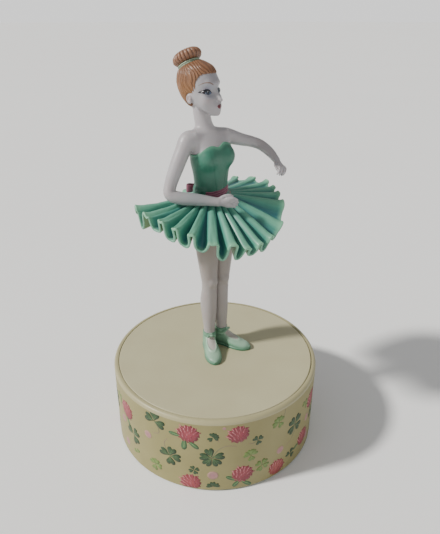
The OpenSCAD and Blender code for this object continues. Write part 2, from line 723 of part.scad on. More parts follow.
// The hem hangs lowest in front and behind, and is lifted at the sides
hem_drops = [0.8, 1.6, 5.6, 12.6, 17.0, 7.4, 5.0, 8.2, 15.6, 18.6, 15.8, 5.1];

// Smooth curve through the drops, which stand 30 degrees apart from the dancer's left
function hem_drop(a) =
    let (
        i = floor(a / 30), t = a / 30 - i,
        p = hem_drops[(i + 11) % 12], q = hem_drops[i % 12], r = hem_drops[(i + 1) % 12], w = hem_drops[(i + 2) % 12]
    )
        0.5 * (2 * q + (r - p) * t + (2 * p - 5 * q + 4 * r - w) * t * t + (3 * q - p - 3 * r + w) * t * t * t);

function cloth_point(a, s, off) =
    let (
        ax = waist_r.x + 0.06, ay = waist_r.y + 0.06,
        r_in = 1 / sqrt(pow(cos(a) / ax, 2) + pow(sin(a) / ay, 2)),
        r_out = tutu_r + 1.5 * cos(2 * a) + 0.5 * fold(a + 3),
        r = r_in + s * (r_out - r_in)
    )
        [waist.x + r * cos(a), waist.y + r * sin(a),
            stand_z + waist.z - 0.4 - hem_drop(a) * pow(s, 1.25) + 2.1 * pow(s, 1.15) * fold(a) + off];

module tutu() {
    n = pleats * 8;
    shares = [0, 0.16, 0.36, 0.56, 0.78, 1];
    m = len(shares);
    color(mint) band_over(concat(
        [for (s = shares) [for (i = [0 : n - 1]) cloth_point(360 * i / n, s, tutu_t / 2)]],
        [for (k = [m - 1 : -1 : 0]) [for (i = [0 : n - 1]) cloth_point(360 * i / n, shares[k], -tutu_t / 2)]]
    ));
}

function waist_ring(g, z, n = 40) =
    [for (i = [0 : n - 1]) [waist.x + (waist_r.x + g) * cos(360 * i / n), waist.y + (waist_r.y + g) * sin(360 * i / n),
        stand_z + waist.z + z]];

module waist_sash()
    color(rose) band_over([waist_ring(0.05, 4.6), waist_ring(0.45, 4.6), waist_ring(0.75, 3.8), waist_ring(0.75, 1.6),
        waist_ring(0.45, 0.8), waist_ring(0.05, 0.8)]);

// One closed bow, flat at its knot and full at both loops: [distance along X, half depth, half height]
module back_bow()
    color(rose) translate([waist.x, waist.y + waist_r.y + 2.1, stand_z + waist.z + 1.9])
        skin_over([for (q = spline([[-7, 0.4, 0.5], [-6.4, 1.0, 1.5], [-4.6, 1.3, 1.9], [-1.8, 0.9, 1.1], [-0.9, 1.1, 1.3],
                [0.9, 1.1, 1.3], [1.8, 0.9, 1.1], [4.6, 1.3, 1.9], [6.4, 1.0, 1.5], [7, 0.4, 0.5]], 2))
            [for (i = [0 : 15]) [q[0], q[1] * cos(360 * i / 16), q[2] * sin(360 * i / 16)]]]);

// ---- Head ----

module head_frame()
    translate([head_c.x, head_c.y, stand_z + head_c.z]) rotate([0, 0, head_turn]) children();

// Everything in front of and under the hairline, a plane from the forehead to the nape
module behind_hairline(g)
    translate([0, -1.8, -1.5]) rotate([35.8, 0, 0]) translate([-20, g, -30]) cube([40, 40, 60]);

// Rings [y, z, half width, half depth, nose]
module skull(sections, n = 32)
    skin_over([for (s = spline(sections, 2)) [for (i = [0 : n - 1]) let (a = -360 * i / n)
        [s[2] * cos(a), s[0] + s[3] * sin(a) - s[4] * exp(-pow((a + 90) / 10, 2)), s[1]]]]);

module head()
    color(skin) head_frame() difference() {
        skull([[-3.2, -11.4, 3.9, 6.4, 0], [-3.5, -9.8, 4.6, 7.2, 0], [-3.2, -8, 5.4, 8.0, 0], [-2.5, -5.6, 6.6, 8.8, 0.6],
            [-1.9, -4.2, 7.0, 9.1, 1.9], [-0.9, -1, 7.6, 9.4, 0.9], [-0.2, 3, 7.9, 9.6, 0], [0.2, 7, 7.0, 8.4, 0],
            [0.4, 9.6, 4.4, 5.4, 0], [0.4, 10.6, 1.8, 2.4, 0]]);
        behind_hairline(0);
    }

module above_bun_base(g)
    rotate([-bun_lean, 0, 0]) translate([-20, -20, bun_base + g]) cube([40, 40, 40]);

module hair()
    color(copper) head_frame() difference() {
        intersection() {
            oval_loft([[0, 3.4, -8, 5.0, 5.0], [0, 3.4, -7, 6.2, 6.0], [0, 2.0, -3, 8.2, 8.8], [0, 0.8, 1, 8.8, 10.0],
                [0, 0.6, 5, 8.8, 10.0], [0, 0.8, 8.6, 6.8, 7.6], [0, 1.0, 10.6, 3.4, 4.2], [0, 1.0, 11.2, 1.2, 1.6]]);
            behind_hairline(0.02);
        }
        above_bun_base(0);
    }

module hair_ribbon()
    color(mint) head_frame() rotate([-bun_lean, 0, 0]) translate([0, 0, bun_base + 0.02])
        rotate_extrude() union() {
            square([4.5, 1.5]);
            translate([4.5, 0.75]) circle(r = 0.75, $fn = 24);
        }

module hair_bun()
    color(copper) head_frame() rotate([-bun_lean, 0, 0]) translate([0, 0, bun_base + 1.54])
        rotate_extrude($fn = 48) polygon([[0, 0], [4.6, 0], [5.9, 0.7], [6.6, 1.8], [6.6, 3.0], [5.9, 4.2],
            [4.4, 5.0], [2, 5.3], [0, 5.3]]);

// ---- Show the chosen node ----

drum_shell();
shelf_ring();
printed_wrap();
felt_foot_ring();
bottom_cover();
cover_screws();
jewel_tray();
tray_felt();
tray_screws();
bedplate();
movement_screws();
cylinder_bracket();
governor_bracket();
tone_comb();
comb_screws();
ratchet_click();
winding_key();
winding_arbor();
ratchet_wheel();
spring_barrel();
mainspring();
crown_wheel();
output_shaft();
pinned_cylinder();
cylinder_pins();
cylinder_arbor();
cylinder_pinion();
cylinder_gear();
governor_arbor();
governor_pinion();
worm_wheel();
governor_worm();
air_vane();
turning_plate();
drive_hub();
hub_screws();
foot_pins();
right_shoe();
left_shoe();
right_leg();
left_leg();
hips();
tutu();
bodice();
shoulders();
waist_sash();
back_bow();
right_arm();
right_hand();
left_arm();
left_hand();
head();
hair();
hair_bun();
hair_ribbon();
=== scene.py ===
import math
import bpy
import bmesh
import numpy as np
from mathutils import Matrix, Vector
from mathutils.bvhtree import BVHTree


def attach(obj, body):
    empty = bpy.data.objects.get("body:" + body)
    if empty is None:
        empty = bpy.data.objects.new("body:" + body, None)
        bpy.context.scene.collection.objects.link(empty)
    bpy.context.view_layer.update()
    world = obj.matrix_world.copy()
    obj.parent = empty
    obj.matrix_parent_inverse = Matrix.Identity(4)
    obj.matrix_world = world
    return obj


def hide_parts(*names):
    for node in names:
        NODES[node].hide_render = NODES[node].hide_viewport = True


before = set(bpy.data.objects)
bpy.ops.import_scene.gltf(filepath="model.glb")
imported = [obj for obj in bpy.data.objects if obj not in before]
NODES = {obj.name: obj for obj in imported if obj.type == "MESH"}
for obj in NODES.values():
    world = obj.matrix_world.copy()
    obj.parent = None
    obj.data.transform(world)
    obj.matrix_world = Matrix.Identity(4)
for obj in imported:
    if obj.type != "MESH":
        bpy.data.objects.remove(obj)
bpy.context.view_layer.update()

# Everything below is worked out in millimetres and scaled once, when a mesh is made.
MM = 0.001
R = 55.0          # drum radius
TOP = 45.0        # top of the turning plate
PI = math.pi
SKY = .40         # light from above the horizon
ROUGH_VAR = .08   # how far roughness strays from its middle
BUMP_DEPTH = .0002
PATCH_LOW = .12   # how deep a patch of paint reaches under the surface
NECK_Z = 126.1    # the head meets the neck here, above the plate
HIP_Z = 74.0      # the legs meet the hips
WAIST = (2.6, 7.0)            # axis of bodice and sash
WALL_LOW, WALL_HIGH = 1.35, 42.65   # the print's lower and upper edge


def srgb(r, g, b):
    f = lambda c: c / 12.92 if c <= 0.04045 else ((c + 0.055) / 1.055) ** 2.4
    return (f(r / 255), f(g / 255), f(b / 255), 1.0)


# ---- materials

def material(name, colour, rough, second, blend_scale, blend, bump, bump_scale=900.0, metallic=0.0,
             coat=0.0, coat_rough=0.25, sss=0.0, attribute=None, stretch=None, sheen=0.0):
    """A surface whose colour, roughness and relief come from noise in the object's own space."""
    m = bpy.data.materials.new(name)
    m.use_nodes = True
    n, link = m.node_tree.nodes, m.node_tree.links.new
    b = n["Principled BSDF"].inputs

    def add(kind, source=None, **values):
        """A node with its values set, fed at its first input."""
        k = n.new("ShaderNode" + kind)
        for key, value in values.items():
            k.inputs[key.replace("_", " ")].default_value = value
        if source:
            link(source, k.inputs[0])
        return k

    for key, value in (("Metallic", metallic), ("IOR", 1.5), ("Coat Weight", coat),
                       ("Coat Roughness", coat_rough), ("Sheen Weight", sheen)):
        b[key].default_value = value
    if sss:
        b["Subsurface Weight"].default_value = sss
        b["Subsurface Scale"].default_value = 0.0012
    src = add("TexCoord").outputs["Object"]
    if stretch:
        src = add("Mapping", src, Scale=stretch).outputs["Vector"]
    big = add("TexNoise", src, Scale=blend_scale, Detail=4)
    ramp = add("ValToRGB", big.outputs["Fac"])
    low, high = ramp.color_ramp.elements
    low.position, high.position = 0.35, 0.65
    low.color = colour
    high.color = tuple(a + (o - a) * blend for a, o in zip(colour[:3], second[:3])) + (1,)
    out = ramp.outputs["Color"]
    if attribute:
        at = add("Attribute")
        at.attribute_name = attribute
        mix = add("Mix")
        mix.data_type, mix.blend_type = "RGBA", "MULTIPLY"
        mix.inputs["Factor"].default_value = 1.0
        link(out, mix.inputs["A"])
        link(at.outputs["Color"], mix.inputs["B"])
        out = mix.outputs["Result"]
    link(out, b["Base Color"])
    fine = add("TexNoise", src, Scale=bump_scale, Detail=6).outputs["Fac"]
    gloss = add("MapRange", fine, To_Min=max(0.02, rough - ROUGH_VAR), To_Max=min(1.0, rough + ROUGH_VAR))
    link(gloss.outputs["Result"], b["Roughness"])
    if bump:
        relief = add("Bump", Strength=bump, Distance=BUMP_DEPTH)
        link(fine, relief.inputs["Height"])
        link(relief.outputs["Normal"], b["Normal"])
    return m


CREAM = material("cream_lacquer", srgb(171, 164, 126), 0.50, srgb(162, 154, 116), 60, 0.5, 0.10, 700,
                 coat=0.15, coat_rough=0.3)
PLATE = material("cream_plate", srgb(190, 184, 150), 0.46, srgb(182, 175, 140), 45, 0.5, 0.10, 800,
                 coat=0.1, coat_rough=0.35)
WRAP = material("print_ground", srgb(147, 139, 91), 0.50, srgb(138, 130, 82), 90, 0.5, 0.06, 1200)
FELT = material("green_felt", srgb(92, 122, 104), 0.95, srgb(70, 98, 82), 900, 0.6, 0.9, 4000, sheen=0.4)
COVER = material("cover_board", srgb(208, 201, 180), 0.6, srgb(190, 182, 160), 120, 0.5, 0.2, 2500)
STEEL = material("bright_steel", srgb(192, 194, 198), 0.3, srgb(160, 162, 168), 500, 0.4, 0.12, 3000,
                 metallic=1.0, stretch=(1, 1, 6))
BLUED = material("spring_steel", srgb(96, 104, 122), 0.32, srgb(70, 76, 96), 400, 0.5, 0.1, 3000, metallic=1.0)
ZINC = material("cast_zinc", srgb(150, 150, 148), 0.55, srgb(128, 128, 126), 300, 0.5, 0.35, 1800, metallic=0.8)
BRASS = material("brass", srgb(206, 168, 88), 0.28, srgb(176, 136, 64), 300, 0.5, 0.12, 2600, metallic=1.0,
                 stretch=(1, 1, 5))
TRAY = material("tray_plastic", srgb(232, 226, 212), 0.5, srgb(220, 212, 196), 120, 0.4, 0.12, 1600)
FLOCK = material("rose_flock", srgb(196, 120, 138), 0.97, srgb(172, 96, 116), 1200, 0.6, 1.0, 5200, sheen=0.6)
VANE = material("vane_nylon", srgb(214, 214, 218), 0.4, srgb(196, 196, 202), 500, 0.4, 0.1, 2500)
HUB = material("hub_nylon", srgb(206, 206, 200), 0.5, srgb(186, 186, 180), 300, 0.4, 0.15, 2500)
SKIN = material("painted_skin", srgb(174, 170, 173), 0.40, srgb(166, 158, 160), 120, 0.5, 0.05, 1500,
                coat=0.06, coat_rough=0.35, sss=0.04, attribute="paint")
MINT = material("painted_mint", (1, 1, 1, 1), 0.42, (0.80, 0.86, 0.86, 1), 260, 0.6, 0.10, 1700, coat=0.06,
                coat_rough=0.35, attribute="paint")
ROSE = material("painted_rose", srgb(152, 92, 112), 0.45, srgb(128, 72, 94), 350, 0.6, 0.1, 1700,
                attribute="paint")
HAIR = material("painted_hair", (1, 1, 1, 1), 0.46, (0.78, 0.74, 0.72, 1), 420, 0.6, 0.12, 2200, coat=0.08,
                attribute="paint")
INK = material("painted_face_ink", (1, 1, 1, 1), 0.3, (0.92, 0.92, 0.92, 1), 600, 0.4, 0.02, 2500, coat=0.3,
               attribute="paint")
TUTU = ((52, 112, 118), (76, 148, 131), (120, 184, 150), (134, 192, 154), (104, 136, 100))
PRINT = material("printed_ink", (1, 1, 1, 1), 0.5, (0.84, 0.86, 0.84, 1), 420, 0.7, 0.04, 2200,
                 attribute="paint")

for names, m in (
    (("drum_shell",), CREAM), (("printed_wrap",), WRAP), (("turning_plate",), PLATE),
    (("felt_foot_ring",), FELT), (("bottom_cover", "shelf_ring"), COVER), (("jewel_tray",), TRAY),
    (("tray_felt",), FLOCK), (("bedplate",), ZINC), (("mainspring",), BLUED), (("air_vane",), VANE),
    (("drive_hub",), HUB),
    (("cover_screws", "tray_screws", "movement_screws", "comb_screws", "ratchet_click", "winding_arbor",
      "output_shaft", "cylinder_pins", "cylinder_arbor", "governor_arbor", "governor_worm", "hub_screws",
      "foot_pins", "tone_comb"), STEEL),
    (("cylinder_bracket", "governor_bracket", "winding_key", "ratchet_wheel", "spring_barrel", "crown_wheel",
      "pinned_cylinder", "cylinder_pinion", "cylinder_gear", "governor_pinion", "worm_wheel"), BRASS),
):
    for name in names:
        for s in NODES[name].material_slots:
            s.material = m


# ---- mesh helpers

def hue(c):
    return np.array(srgb(*c)[:3])


def towards(c, other, k):
    """Colours c moved towards another by share k."""
    return c + (other - c) * k[..., None]


def set_paint(me, rgb):
    c = np.ones((len(me.vertices), 4), "f4")
    c[:, :3] = rgb
    me.color_attributes["paint"].data.foreach_set("color", c.ravel())


def make(name, verts, faces, mat, body, node, slot, paint=1.0, sharp=None):
    """A mesh object from points in mm, with one colour or one for each point."""
    me = bpy.data.meshes.new(name)
    me.from_pydata([tuple(float(c) * MM for c in v) for v in verts], [], [list(map(int, f)) for f in faces])
    me.validate()
    me.update()
    o = bpy.data.objects.new(name, me)
    bpy.context.scene.collection.objects.link(o)
    me.materials.append(mat)
    me.polygons.foreach_set("use_smooth", [True] * len(me.polygons))
    if sharp is not None:
        me.set_sharp_from_angle(angle=math.radians(sharp))
    me.color_attributes.new("paint", "FLOAT_COLOR", "POINT")
    set_paint(me, paint)
    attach(o, body)
    if node:
        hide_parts(*([node] if isinstance(node, str) else node))
    return o


def grid_faces(nv, nu, close_v=False):
    """Quads of nv rings with nu points each."""
    return [(j * nu + i, j * nu + (i + 1) % nu, (j + 1) % nv * nu + (i + 1) % nu, (j + 1) % nv * nu + i)
            for j in range(nv if close_v else nv - 1) for i in range(nu)]


def capped(nv, nu):
    """Rings closed by a flat face at each end."""
    return grid_faces(nv, nu) + [list(range(nu))[::-1], [(nv - 1) * nu + i for i in range(nu)]]


def rings(name, v, c, mat, slot, sharp, faces=None):
    """A piece of the dancer from rings of points, which close on the first ring unless faces says not."""
    make(name, v.reshape(-1, 3), faces or grid_faces(*v.shape[:2], True), mat, "dancer", name, slot,
         c.reshape(-1, 3), sharp)


def catmull(p, steps):
    p = np.asarray(p, float)
    out = []
    for i in range(len(p) - 1):
        a, b, c, d = p[max(i - 1, 0)], p[i], p[i + 1], p[min(i + 2, len(p) - 1)]
        for k in range(steps):
            t = k / steps
            out.append(0.5 * (2 * b + (c - a) * t + (2 * a - 5 * b + 4 * c - d) * t * t
                              + (3 * b - a - 3 * c + d) * t ** 3))
    out.append(p[-1])
    return np.array(out)


def circle(n):
    """n angles round a full turn."""
    return np.linspace(0, 2 * PI, n, endpoint=False)


# ---- distance fields

def smin(a, b, k):
    h = np.clip(0.5 + 0.5 * (b - a) / k, 0, 1)
    return b + (a - b) * h - k * h * (1 - h)


def smax(a, b, k):
    return -smin(-a, -b, k)


def tube(P, path):
    """Distance to a chain of tapered rods along rows of x, y, z, r."""
    p = np.asarray(path, float)
    best = np.full(len(P), 1e3)
    for a, b in zip(p[:-1], p[1:]):
        ba = b[:3] - a[:3]
        pa = P - a[:3]
        t = np.clip(pa @ ba / max(ba @ ba, 1e-9), 0, 1)
        d = np.sqrt(((pa - t[:, None] * ba) ** 2).sum(1)) - (a[3] + t * (b[3] - a[3]))
        best = np.minimum(best, d)
    return best


def ball(P, c, r):
    """Distance to an ellipsoid, near enough close to its surface."""
    r = np.broadcast_to(np.asarray(r, float), (3,))
    q = (P - np.asarray(c, float)) / r
    k = np.sqrt((q ** 2).sum(1)) + 1e-9
    g = np.sqrt(((q / r) ** 2).sum(1)) + 1e-9
    return k * (k - 1) / g


def stack(P, rows):
    """Distance to a stack of level ovals: rows of x, y, z, half width, half depth."""
    s = np.asarray(rows, float)
    z = P[:, 2]
    w = [np.interp(z, s[:, 2], s[:, k]) for k in (0, 1, 3, 4)]
    q = np.sqrt(((P[:, 0] - w[0]) / w[2]) ** 2 + ((P[:, 1] - w[1]) / w[3]) ** 2)
    side = (q - 1) * np.minimum(w[2], w[3])
    return np.maximum(side, np.maximum(s[0, 2] - z, z - s[-1, 2]))


CORNERS = np.array([(i, j, k) for i in (0, 1) for j in (0, 1) for k in (0, 1)])
EDGES = [(a, b) for a in range(8) for b in range(a + 1, 8) if abs(CORNERS[a] - CORNERS[b]).sum() == 1]


def surface(field, lo, hi, h):
    """Points and quads of the field's zero surface inside a box."""
    ax = [np.arange(lo[k], hi[k] + h, h) for k in range(3)]
    shape = tuple(len(a) for a in ax)
    V = np.empty(shape, "f4")
    for i, x in enumerate(ax[0]):
        g = np.stack(np.meshgrid([x], ax[1], ax[2], indexing="ij"), -1).reshape(-1, 3)
        V[i] = field(g).reshape(shape[1:])
    V[0], V[-1] = 1, 1
    V[:, 0], V[:, -1], V[:, :, 0], V[:, :, -1] = 1, 1, 1, 1
    S = V < 0
    n = [s - 1 for s in shape]
    corner = [S[i:i + n[0], j:j + n[1], k:k + n[2]] for i, j, k in CORNERS]
    count = sum(c.astype("i1") for c in corner)
    act = np.argwhere((count > 0) & (count < 8))
    index = -np.ones(n, "i4")
    index[tuple(act.T)] = np.arange(len(act))
    vals = np.stack([V[tuple((act + c).T)] for c in CORNERS], 1)
    tot, num = np.zeros((len(act), 3)), np.zeros(len(act))
    for a, b in EDGES:
        va, vb = vals[:, a], vals[:, b]
        x = (va < 0) != (vb < 0)
        t = np.where(x, va / np.where(x, va - vb, 1), 0)
        p = CORNERS[a] + t[:, None] * (CORNERS[b] - CORNERS[a])
        tot[x] += p[x]
        num[x] += 1
    pts = np.array([a[0] for a in ax]) + h * (act + tot / num[:, None])
    quads = []
    for k in range(3):
        u, w = [(1, 2), (2, 0), (0, 1)][k]
        sl0 = [slice(1, n[m]) for m in range(3)]
        sl0[k] = slice(0, n[k])
        sl1 = list(sl0)
        sl1[k] = slice(1, n[k] + 1)
        a, b = S[tuple(sl0)], S[tuple(sl1)]
        e = np.argwhere(a != b)
        if not len(e):
            continue
        off = np.array([1, 1, 1])
        off[k] = 0
        e = e + off
        eu, ew = np.eye(3, dtype=int)[u], np.eye(3, dtype=int)[w]
        q = np.stack([index[tuple((e - du).T)] for du in (0 * eu, eu, eu + ew, ew)], 1)
        inside = S[tuple(e.T)]
        q[~inside] = q[~inside][:, ::-1]
        quads.append(q)
    quads = np.concatenate(quads)
    return pts, quads[(quads >= 0).all(1)]


def carve(name, field, lo, hi, h, cuts, paint, mat=SKIN, slot="skin"):
    """The field's surface as a closed mesh, cut flat at (point, outward normal) planes."""
    pts, quads = surface(field, lo, hi, h)
    # one step towards the true surface evens out the grid's steps
    e = 0.05
    g = np.stack([field(pts + a * e) - field(pts - a * e) for a in np.eye(3)], 1) / (2 * e)
    step = field(pts) / ((g ** 2).sum(1) + 1e-6)
    pts = up_z(pts - np.clip(step, -h, h)[:, None] * g)
    me = make(name, pts, quads, mat, "dancer", name, slot).data
    bm = bmesh.new()
    bm.from_mesh(me)
    for p, n, *part in cuts:
        # in the mesh's own order, so that every run gives the same mesh
        verts = [v for v in bm.verts if not part or part[0](v.co / MM)]
        keep = set(verts)
        geom = verts + [x for x in [*bm.edges, *bm.faces] if keep.issuperset(x.verts)]
        r = bmesh.ops.bisect_plane(bm, geom=geom, dist=1e-7, plane_co=Vector(p) * MM, plane_no=Vector(n),
                                   clear_outer=True)
        rim = [x for x in r["geom_cut"] if isinstance(x, bmesh.types.BMEdge) and x.is_boundary]
        if rim:
            bmesh.ops.holes_fill(bm, edges=rim, sides=0)
            for x in rim:
                x.smooth = False
    bmesh.ops.recalc_face_normals(bm, faces=bm.faces)
    bm.to_mesh(me)
    bm.free()
    me.polygons.foreach_set("use_smooth", [True] * len(me.polygons))
    got = []
    for key in ("co", "normal"):
        got.append(np.empty(len(me.vertices) * 3, "f4"))
        me.vertices.foreach_get(key, got[-1])
    set_paint(me, paint(got[0].reshape(-1, 3) / MM, got[1].reshape(-1, 3)))
    return me


def up_z(v):
    return v + np.array([0, 0, TOP])


def lift(p):
    return (p[0], p[1], p[2] + TOP)


def level(z, up):
    """A level cut at height z that keeps what lies below it (up 1) or above it (up -1)."""
    return lift((0, 0, z)), (0, 0, up)


def across(x, to):
    """An upright cut at x that keeps what lies on the side away from to."""
    return lift((x, 0, 0)), (to, 0, 0)


# ---- the dancer's body (z above the plate)

LEG_MID = 4.35
leg_rows = catmull([[.2, 5.3, 6.0, 3.1, 3.3], [.2, 5.3, 8.2, 3.1, 3.3], [.2, 5.3, 13, 3.1, 3.2],
                    [.4, 5.8, 22, 3.95, 4.2], [.5, 6.0, 29, 4.2, 4.5], [.5, 5.3, 39, 4.1, 4.0],
                    [.2, 5.3, 46, 4.65, 4.6], [-.5, 5.7, 60, 5.9, 5.8], [-.7, 6.0, 73, 6.2, 6.5],
                    [-.2, 6.1, 80, 5.4, 6.0]], 6)
hip_rows = catmull([[4.35, 5.9, 66, 4.6, 3.6], [4.35, 5.9, 69.5, 8.0, 5.4], [4.3, 5.9, 73, 10.0, 6.6],
                    [4.0, 6.1, 77, 10.6, 7.6], [3.5, 6.6, 81, 10.2, 7.6], [3.1, 6.9, 84.6, 8.8, 6.9],
                    [3, 7, 87, 8.3, 6.7], [3, 7, 90, 8.3, 6.7]], 6)
trunk_rows = catmull([[3, 7, 85, 8.3, 6.7], [3, 7, 88, 8.3, 6.7], [3, 7, 93.4, 8.3, 6.7], [2.9, 6.9, 99, 8.9, 7.1],
                      [2.8, 6.7, 104, 10, 8.0], [2.6, 6.6, 108, 10.3, 8.2], [2.3, 7.2, 112, 10.6, 7.3],
                      [2, 8, 116, 10.4, 5.8], [1.6, 8.8, 118.4, 7.6, 4.8], [1.3, 9.4, 120, 5, 4.3],
                      [1, 9.9, 122, 4.15, 4], [.6, 10.3, 125, 4, 3.9], [.4, 10.6, 129, 4.1, 4.1],
                      [.3, 10.8, 133, 4.3, 4.4]], 6)
right_arm_path = catmull([[-5.5, 8.2, 116.0, 3.3], [-9.2, 8.4, 115.4, 3.9], [-12.2, 8.4, 110.6, 3.6],
                          [-15.5, 8.5, 104.4, 3.4], [-19.1, 8.6, 96.6, 2.95], [-20.4, 7.4, 92.4, 2.85],
                          [-17.0, 4.4, 90.6, 3.0], [-10.6, -.8, 89.9, 2.75], [-3.6, -6, 88.8, 1.95]], 5)
left_arm_path = catmull([[8.4, 8.8, 115.4, 3.3], [13.6, 9.2, 114.6, 3.7], [22.9, 8.3, 111.6, 3],
                         [29.2, 7.6, 109.8, 2.7], [32.6, 4.6, 108.2, 2.55], [33.6, -1, 105.6, 2.3],
                         [33, -6.5, 102.8, 1.7]], 5)


def trunk(P):
    d = stack(P, trunk_rows)
    for x in (-2.3, 7.7):
        d = smin(d, ball(P, (x, 1.9, 107.0), (4.2, 4.1, 4.6)), 2.2)
    # collar bones and the hollow between them
    d = smin(d, tube(P, [[2.0, 4.9, 117.3, .5], [-6.5, 5.4, 117.9, .55]]), 1.6)
    d = smin(d, tube(P, [[3.0, 4.9, 117.3, .5], [11.2, 6.2, 117.6, .55]]), 1.6)
    return d


def upper(P):
    d = trunk(P)
    z = P[:, 2]
    k = np.interp(z, [104, 110, 113.5], [0.25, 0.6, 2.6])
    d = smin(d, tube(P, right_arm_path), k)
    return smin(d, tube(P, left_arm_path), k)


def hand_frame(o, e1, up):
    e1 = np.array(e1, float) / np.linalg.norm(e1)
    e3 = np.cross(e1, up)
    e3 /= np.linalg.norm(e3)
    e2 = np.cross(e3, e1)
    o = np.array(o, float)
    return lambda rows: [list(o + a * e1 + b * e2 + c * e3) + [r] for a, b, c, r in rows]


# right hand: its back faces the viewer, fingers together and a little bent; left hand: hanging, relaxed
RW, LW = (-3.4, -6.15, 88.8), (32.97, -6.6, 102.72)   # wrists
RDIR, LDIR = (.839, -.545, -.03), (-.12, -.885, -.45)
RH = hand_frame(RW, RDIR, (0, 0, 1))
LH = hand_frame((32.97, -6.7, 102.7), (-.12, -.86, -.50), (.97, -.10, -.18))


def hand(P, F, flip=1.0, curl=1.0, s=1.0, reach=1.0):
    d = tube(P, F([(-1.2, 0, 0, 1.75 * s), (1.0, 0, 0, 1.55 * s), (5.4, .75, 0, 1.25 * s)]))
    d = smin(d, tube(P, F([(.6, -.3, 0, 1.4 * s), (5.2, -1.55, .1, 1.15 * s)])), 1.2)
    for i, (z0, n) in enumerate(((1.5, 4.9), (.35, 5.3), (-.85, 4.9), (-1.95, 4.1))):
        n *= reach
        f = catmull([(4.4, z0 * .95, 0, .88 * s), (4.4 + n * .45, z0 + .1, .15 * curl, .80 * s),
                     (4.4 + n * .8, z0 - .1 - .25 * curl, -.5 * curl, .72 * s),
                     (4.4 + n, z0 - .35 - .7 * curl, -1.35 * curl, .55 * s)], 3)
        d = smin(d, tube(P, F(f)), .28)
    t = catmull([(1.2, 1.2 * flip, -.2, 1.0 * s), (3.2, 2.5 * flip, -.5, .85 * s), (5.4, 2.9 * flip, -.7, .72 * s),
                 (7.0, 2.5 * flip, -.9, .52 * s)], 3)
    return smin(d, tube(P, F(t)), .55)


def blush_and_shade(spots):
    """White paint with soft spots of blush and of painted shade: rows of centre, radius, colour and strength."""
    def f(q, n):
        c = np.ones((len(q), 3), "f4")
        for centre, r, col, w in spots:
            d = np.sqrt((((q - np.array(centre)) / np.array(r)) ** 2).sum(1))
            k = (w * np.exp(-d ** 2))[:, None]
            c = c * (1 - k) + np.array(col) * k
        return c
    return f


# painted shade on the right forearm, tinted green like light thrown up off the tutu; pink blush on both elbows
skin_and_forearm_shade = blush_and_shade([(lift((-11, .5, 91)), (9.5, 8, 4.5), (.48, .58, .58), .8),
                    (lift((-20.5, 9, 93)), 3.5, (1, .90, .88), .5), (lift((33, 5, 108)), 3.5, (1, .90, .88), .4)])


# skin of the legs and hips, darker and warmer towards the hips: painted shade under the tutu over a warm skin tone
def leg_skin_and_shade(q, n):
    return np.stack([np.interp(q[:, 2], [TOP + 8, TOP + 40, TOP + 70], c) for c in
                     ((.92, .78, .50), (.91, .75, .44), (.89, .70, .32))], 1)


def leg_field(P):
    d = stack(P, leg_rows)
    d = smin(d, ball(P, (.5, 1.9, 42.0), (2.1, 1.6, 2.6)), 1.6)
    d = smin(d, ball(P, (.7, 8.4, 28.5), (2.7, 2.3, 8)), 2.0)
    return np.where(P[:, 2] > 60, smin(d, stack(P, hip_rows), 1.5), d)


def mirror(P):
    """The same points on the other leg."""
    return P * np.array([-1, 1, 1]) + np.array([2 * LEG_MID, 0, 0])


def mirrored(P):
    return leg_field(mirror(P))


for side, name, field, x0, x1 in ((-1, "right_leg", leg_field, -8.5, LEG_MID + 1),
                                  (1, "left_leg", mirrored, LEG_MID - 1, 2 * LEG_MID + 8.5)):
    carve(name, field, (x0, -2.5, 8.0), (x1, 14, 76), .33,
          [across(LEG_MID + side * .01, -side), level(HIP_Z - .02, 1), level(8.4, -1)], leg_skin_and_shade)
carve("hips", lambda P: smin(leg_field(P), mirrored(P), 1.5), (-9, -3.5, 72), (17.5, 16, 89), .4,
      [level(HIP_Z, -1), level(87.98, 1)], leg_skin_and_shade)


# shoulders with the neck, and the two arms cut from the same surface
def right_field(P):
    a = smin(tube(P, right_arm_path), hand(P, RH), .7)
    return np.where(P[:, 2] < 103, a, smin(upper(P), a, .01))


def left_field(P):
    return smin(upper(P), hand(P, LH, -1.0, 1.4, .78, .78), .7)


def anti(v):
    return tuple(-c for c in v)


for name, field, lo, hi, h, cuts in (
    ("shoulders", upper, (-10, -1.5, 103), (15, 16, 127.5), .28,
     [across(-8, -1), across(13.2, 1), level(NECK_Z, 1), level(104, -1)]),
    ("right_arm", right_field, (-25, -10, 85), (3, 14, 121), .28,
     [across(-8.02, 1) + (lambda c: c.z > TOP + 101,),
      (lift(RW), RDIR, lambda c: c.z < TOP + 97 and c.x > -12)]),
    ("right_hand", right_field, (-7, -16, 82), (9, 0, 95), .17, [(lift(RW), anti(RDIR))]),
    ("left_arm", left_field, (12.5, -11, 96), (37.5, 14, 119.5), .28, [across(13.22, -1), (lift(LW), LDIR)]),
    ("left_hand", left_field, (25, -18, 94), (37, -4, 107), .17, [(lift(LW), anti(LDIR))]),
):
    carve(name, field, lo, hi, h, cuts, skin_and_forearm_shade)

# ---- slippers

FOOT = catmull([[-5.2, .9, 4.2], [-4.3, 2.4, 6.6], [-3.2, 3.2, 8.2], [0, 3.45, 8.2], [3.2, 3.5, 8.0], [6, 3.9, 6.4],
                [9.5, 4.3, 4.9], [13, 4.0, 3.8], [15.8, 2.9, 3.1], [17.8, .9, 2.0]], 4)


def foot_frame(P, s):
    """Forward and sideways distances from the ankle of the foot on side s."""
    a = (LEG_MID + s * (LEG_MID - .2), 5.3)
    t = math.radians(26)
    fw = np.array([s * math.sin(t), -math.cos(t)])
    sd = np.array([math.cos(t), s * math.sin(t)])
    q = P[:, :2] - np.array(a)
    return q @ fw, q @ sd


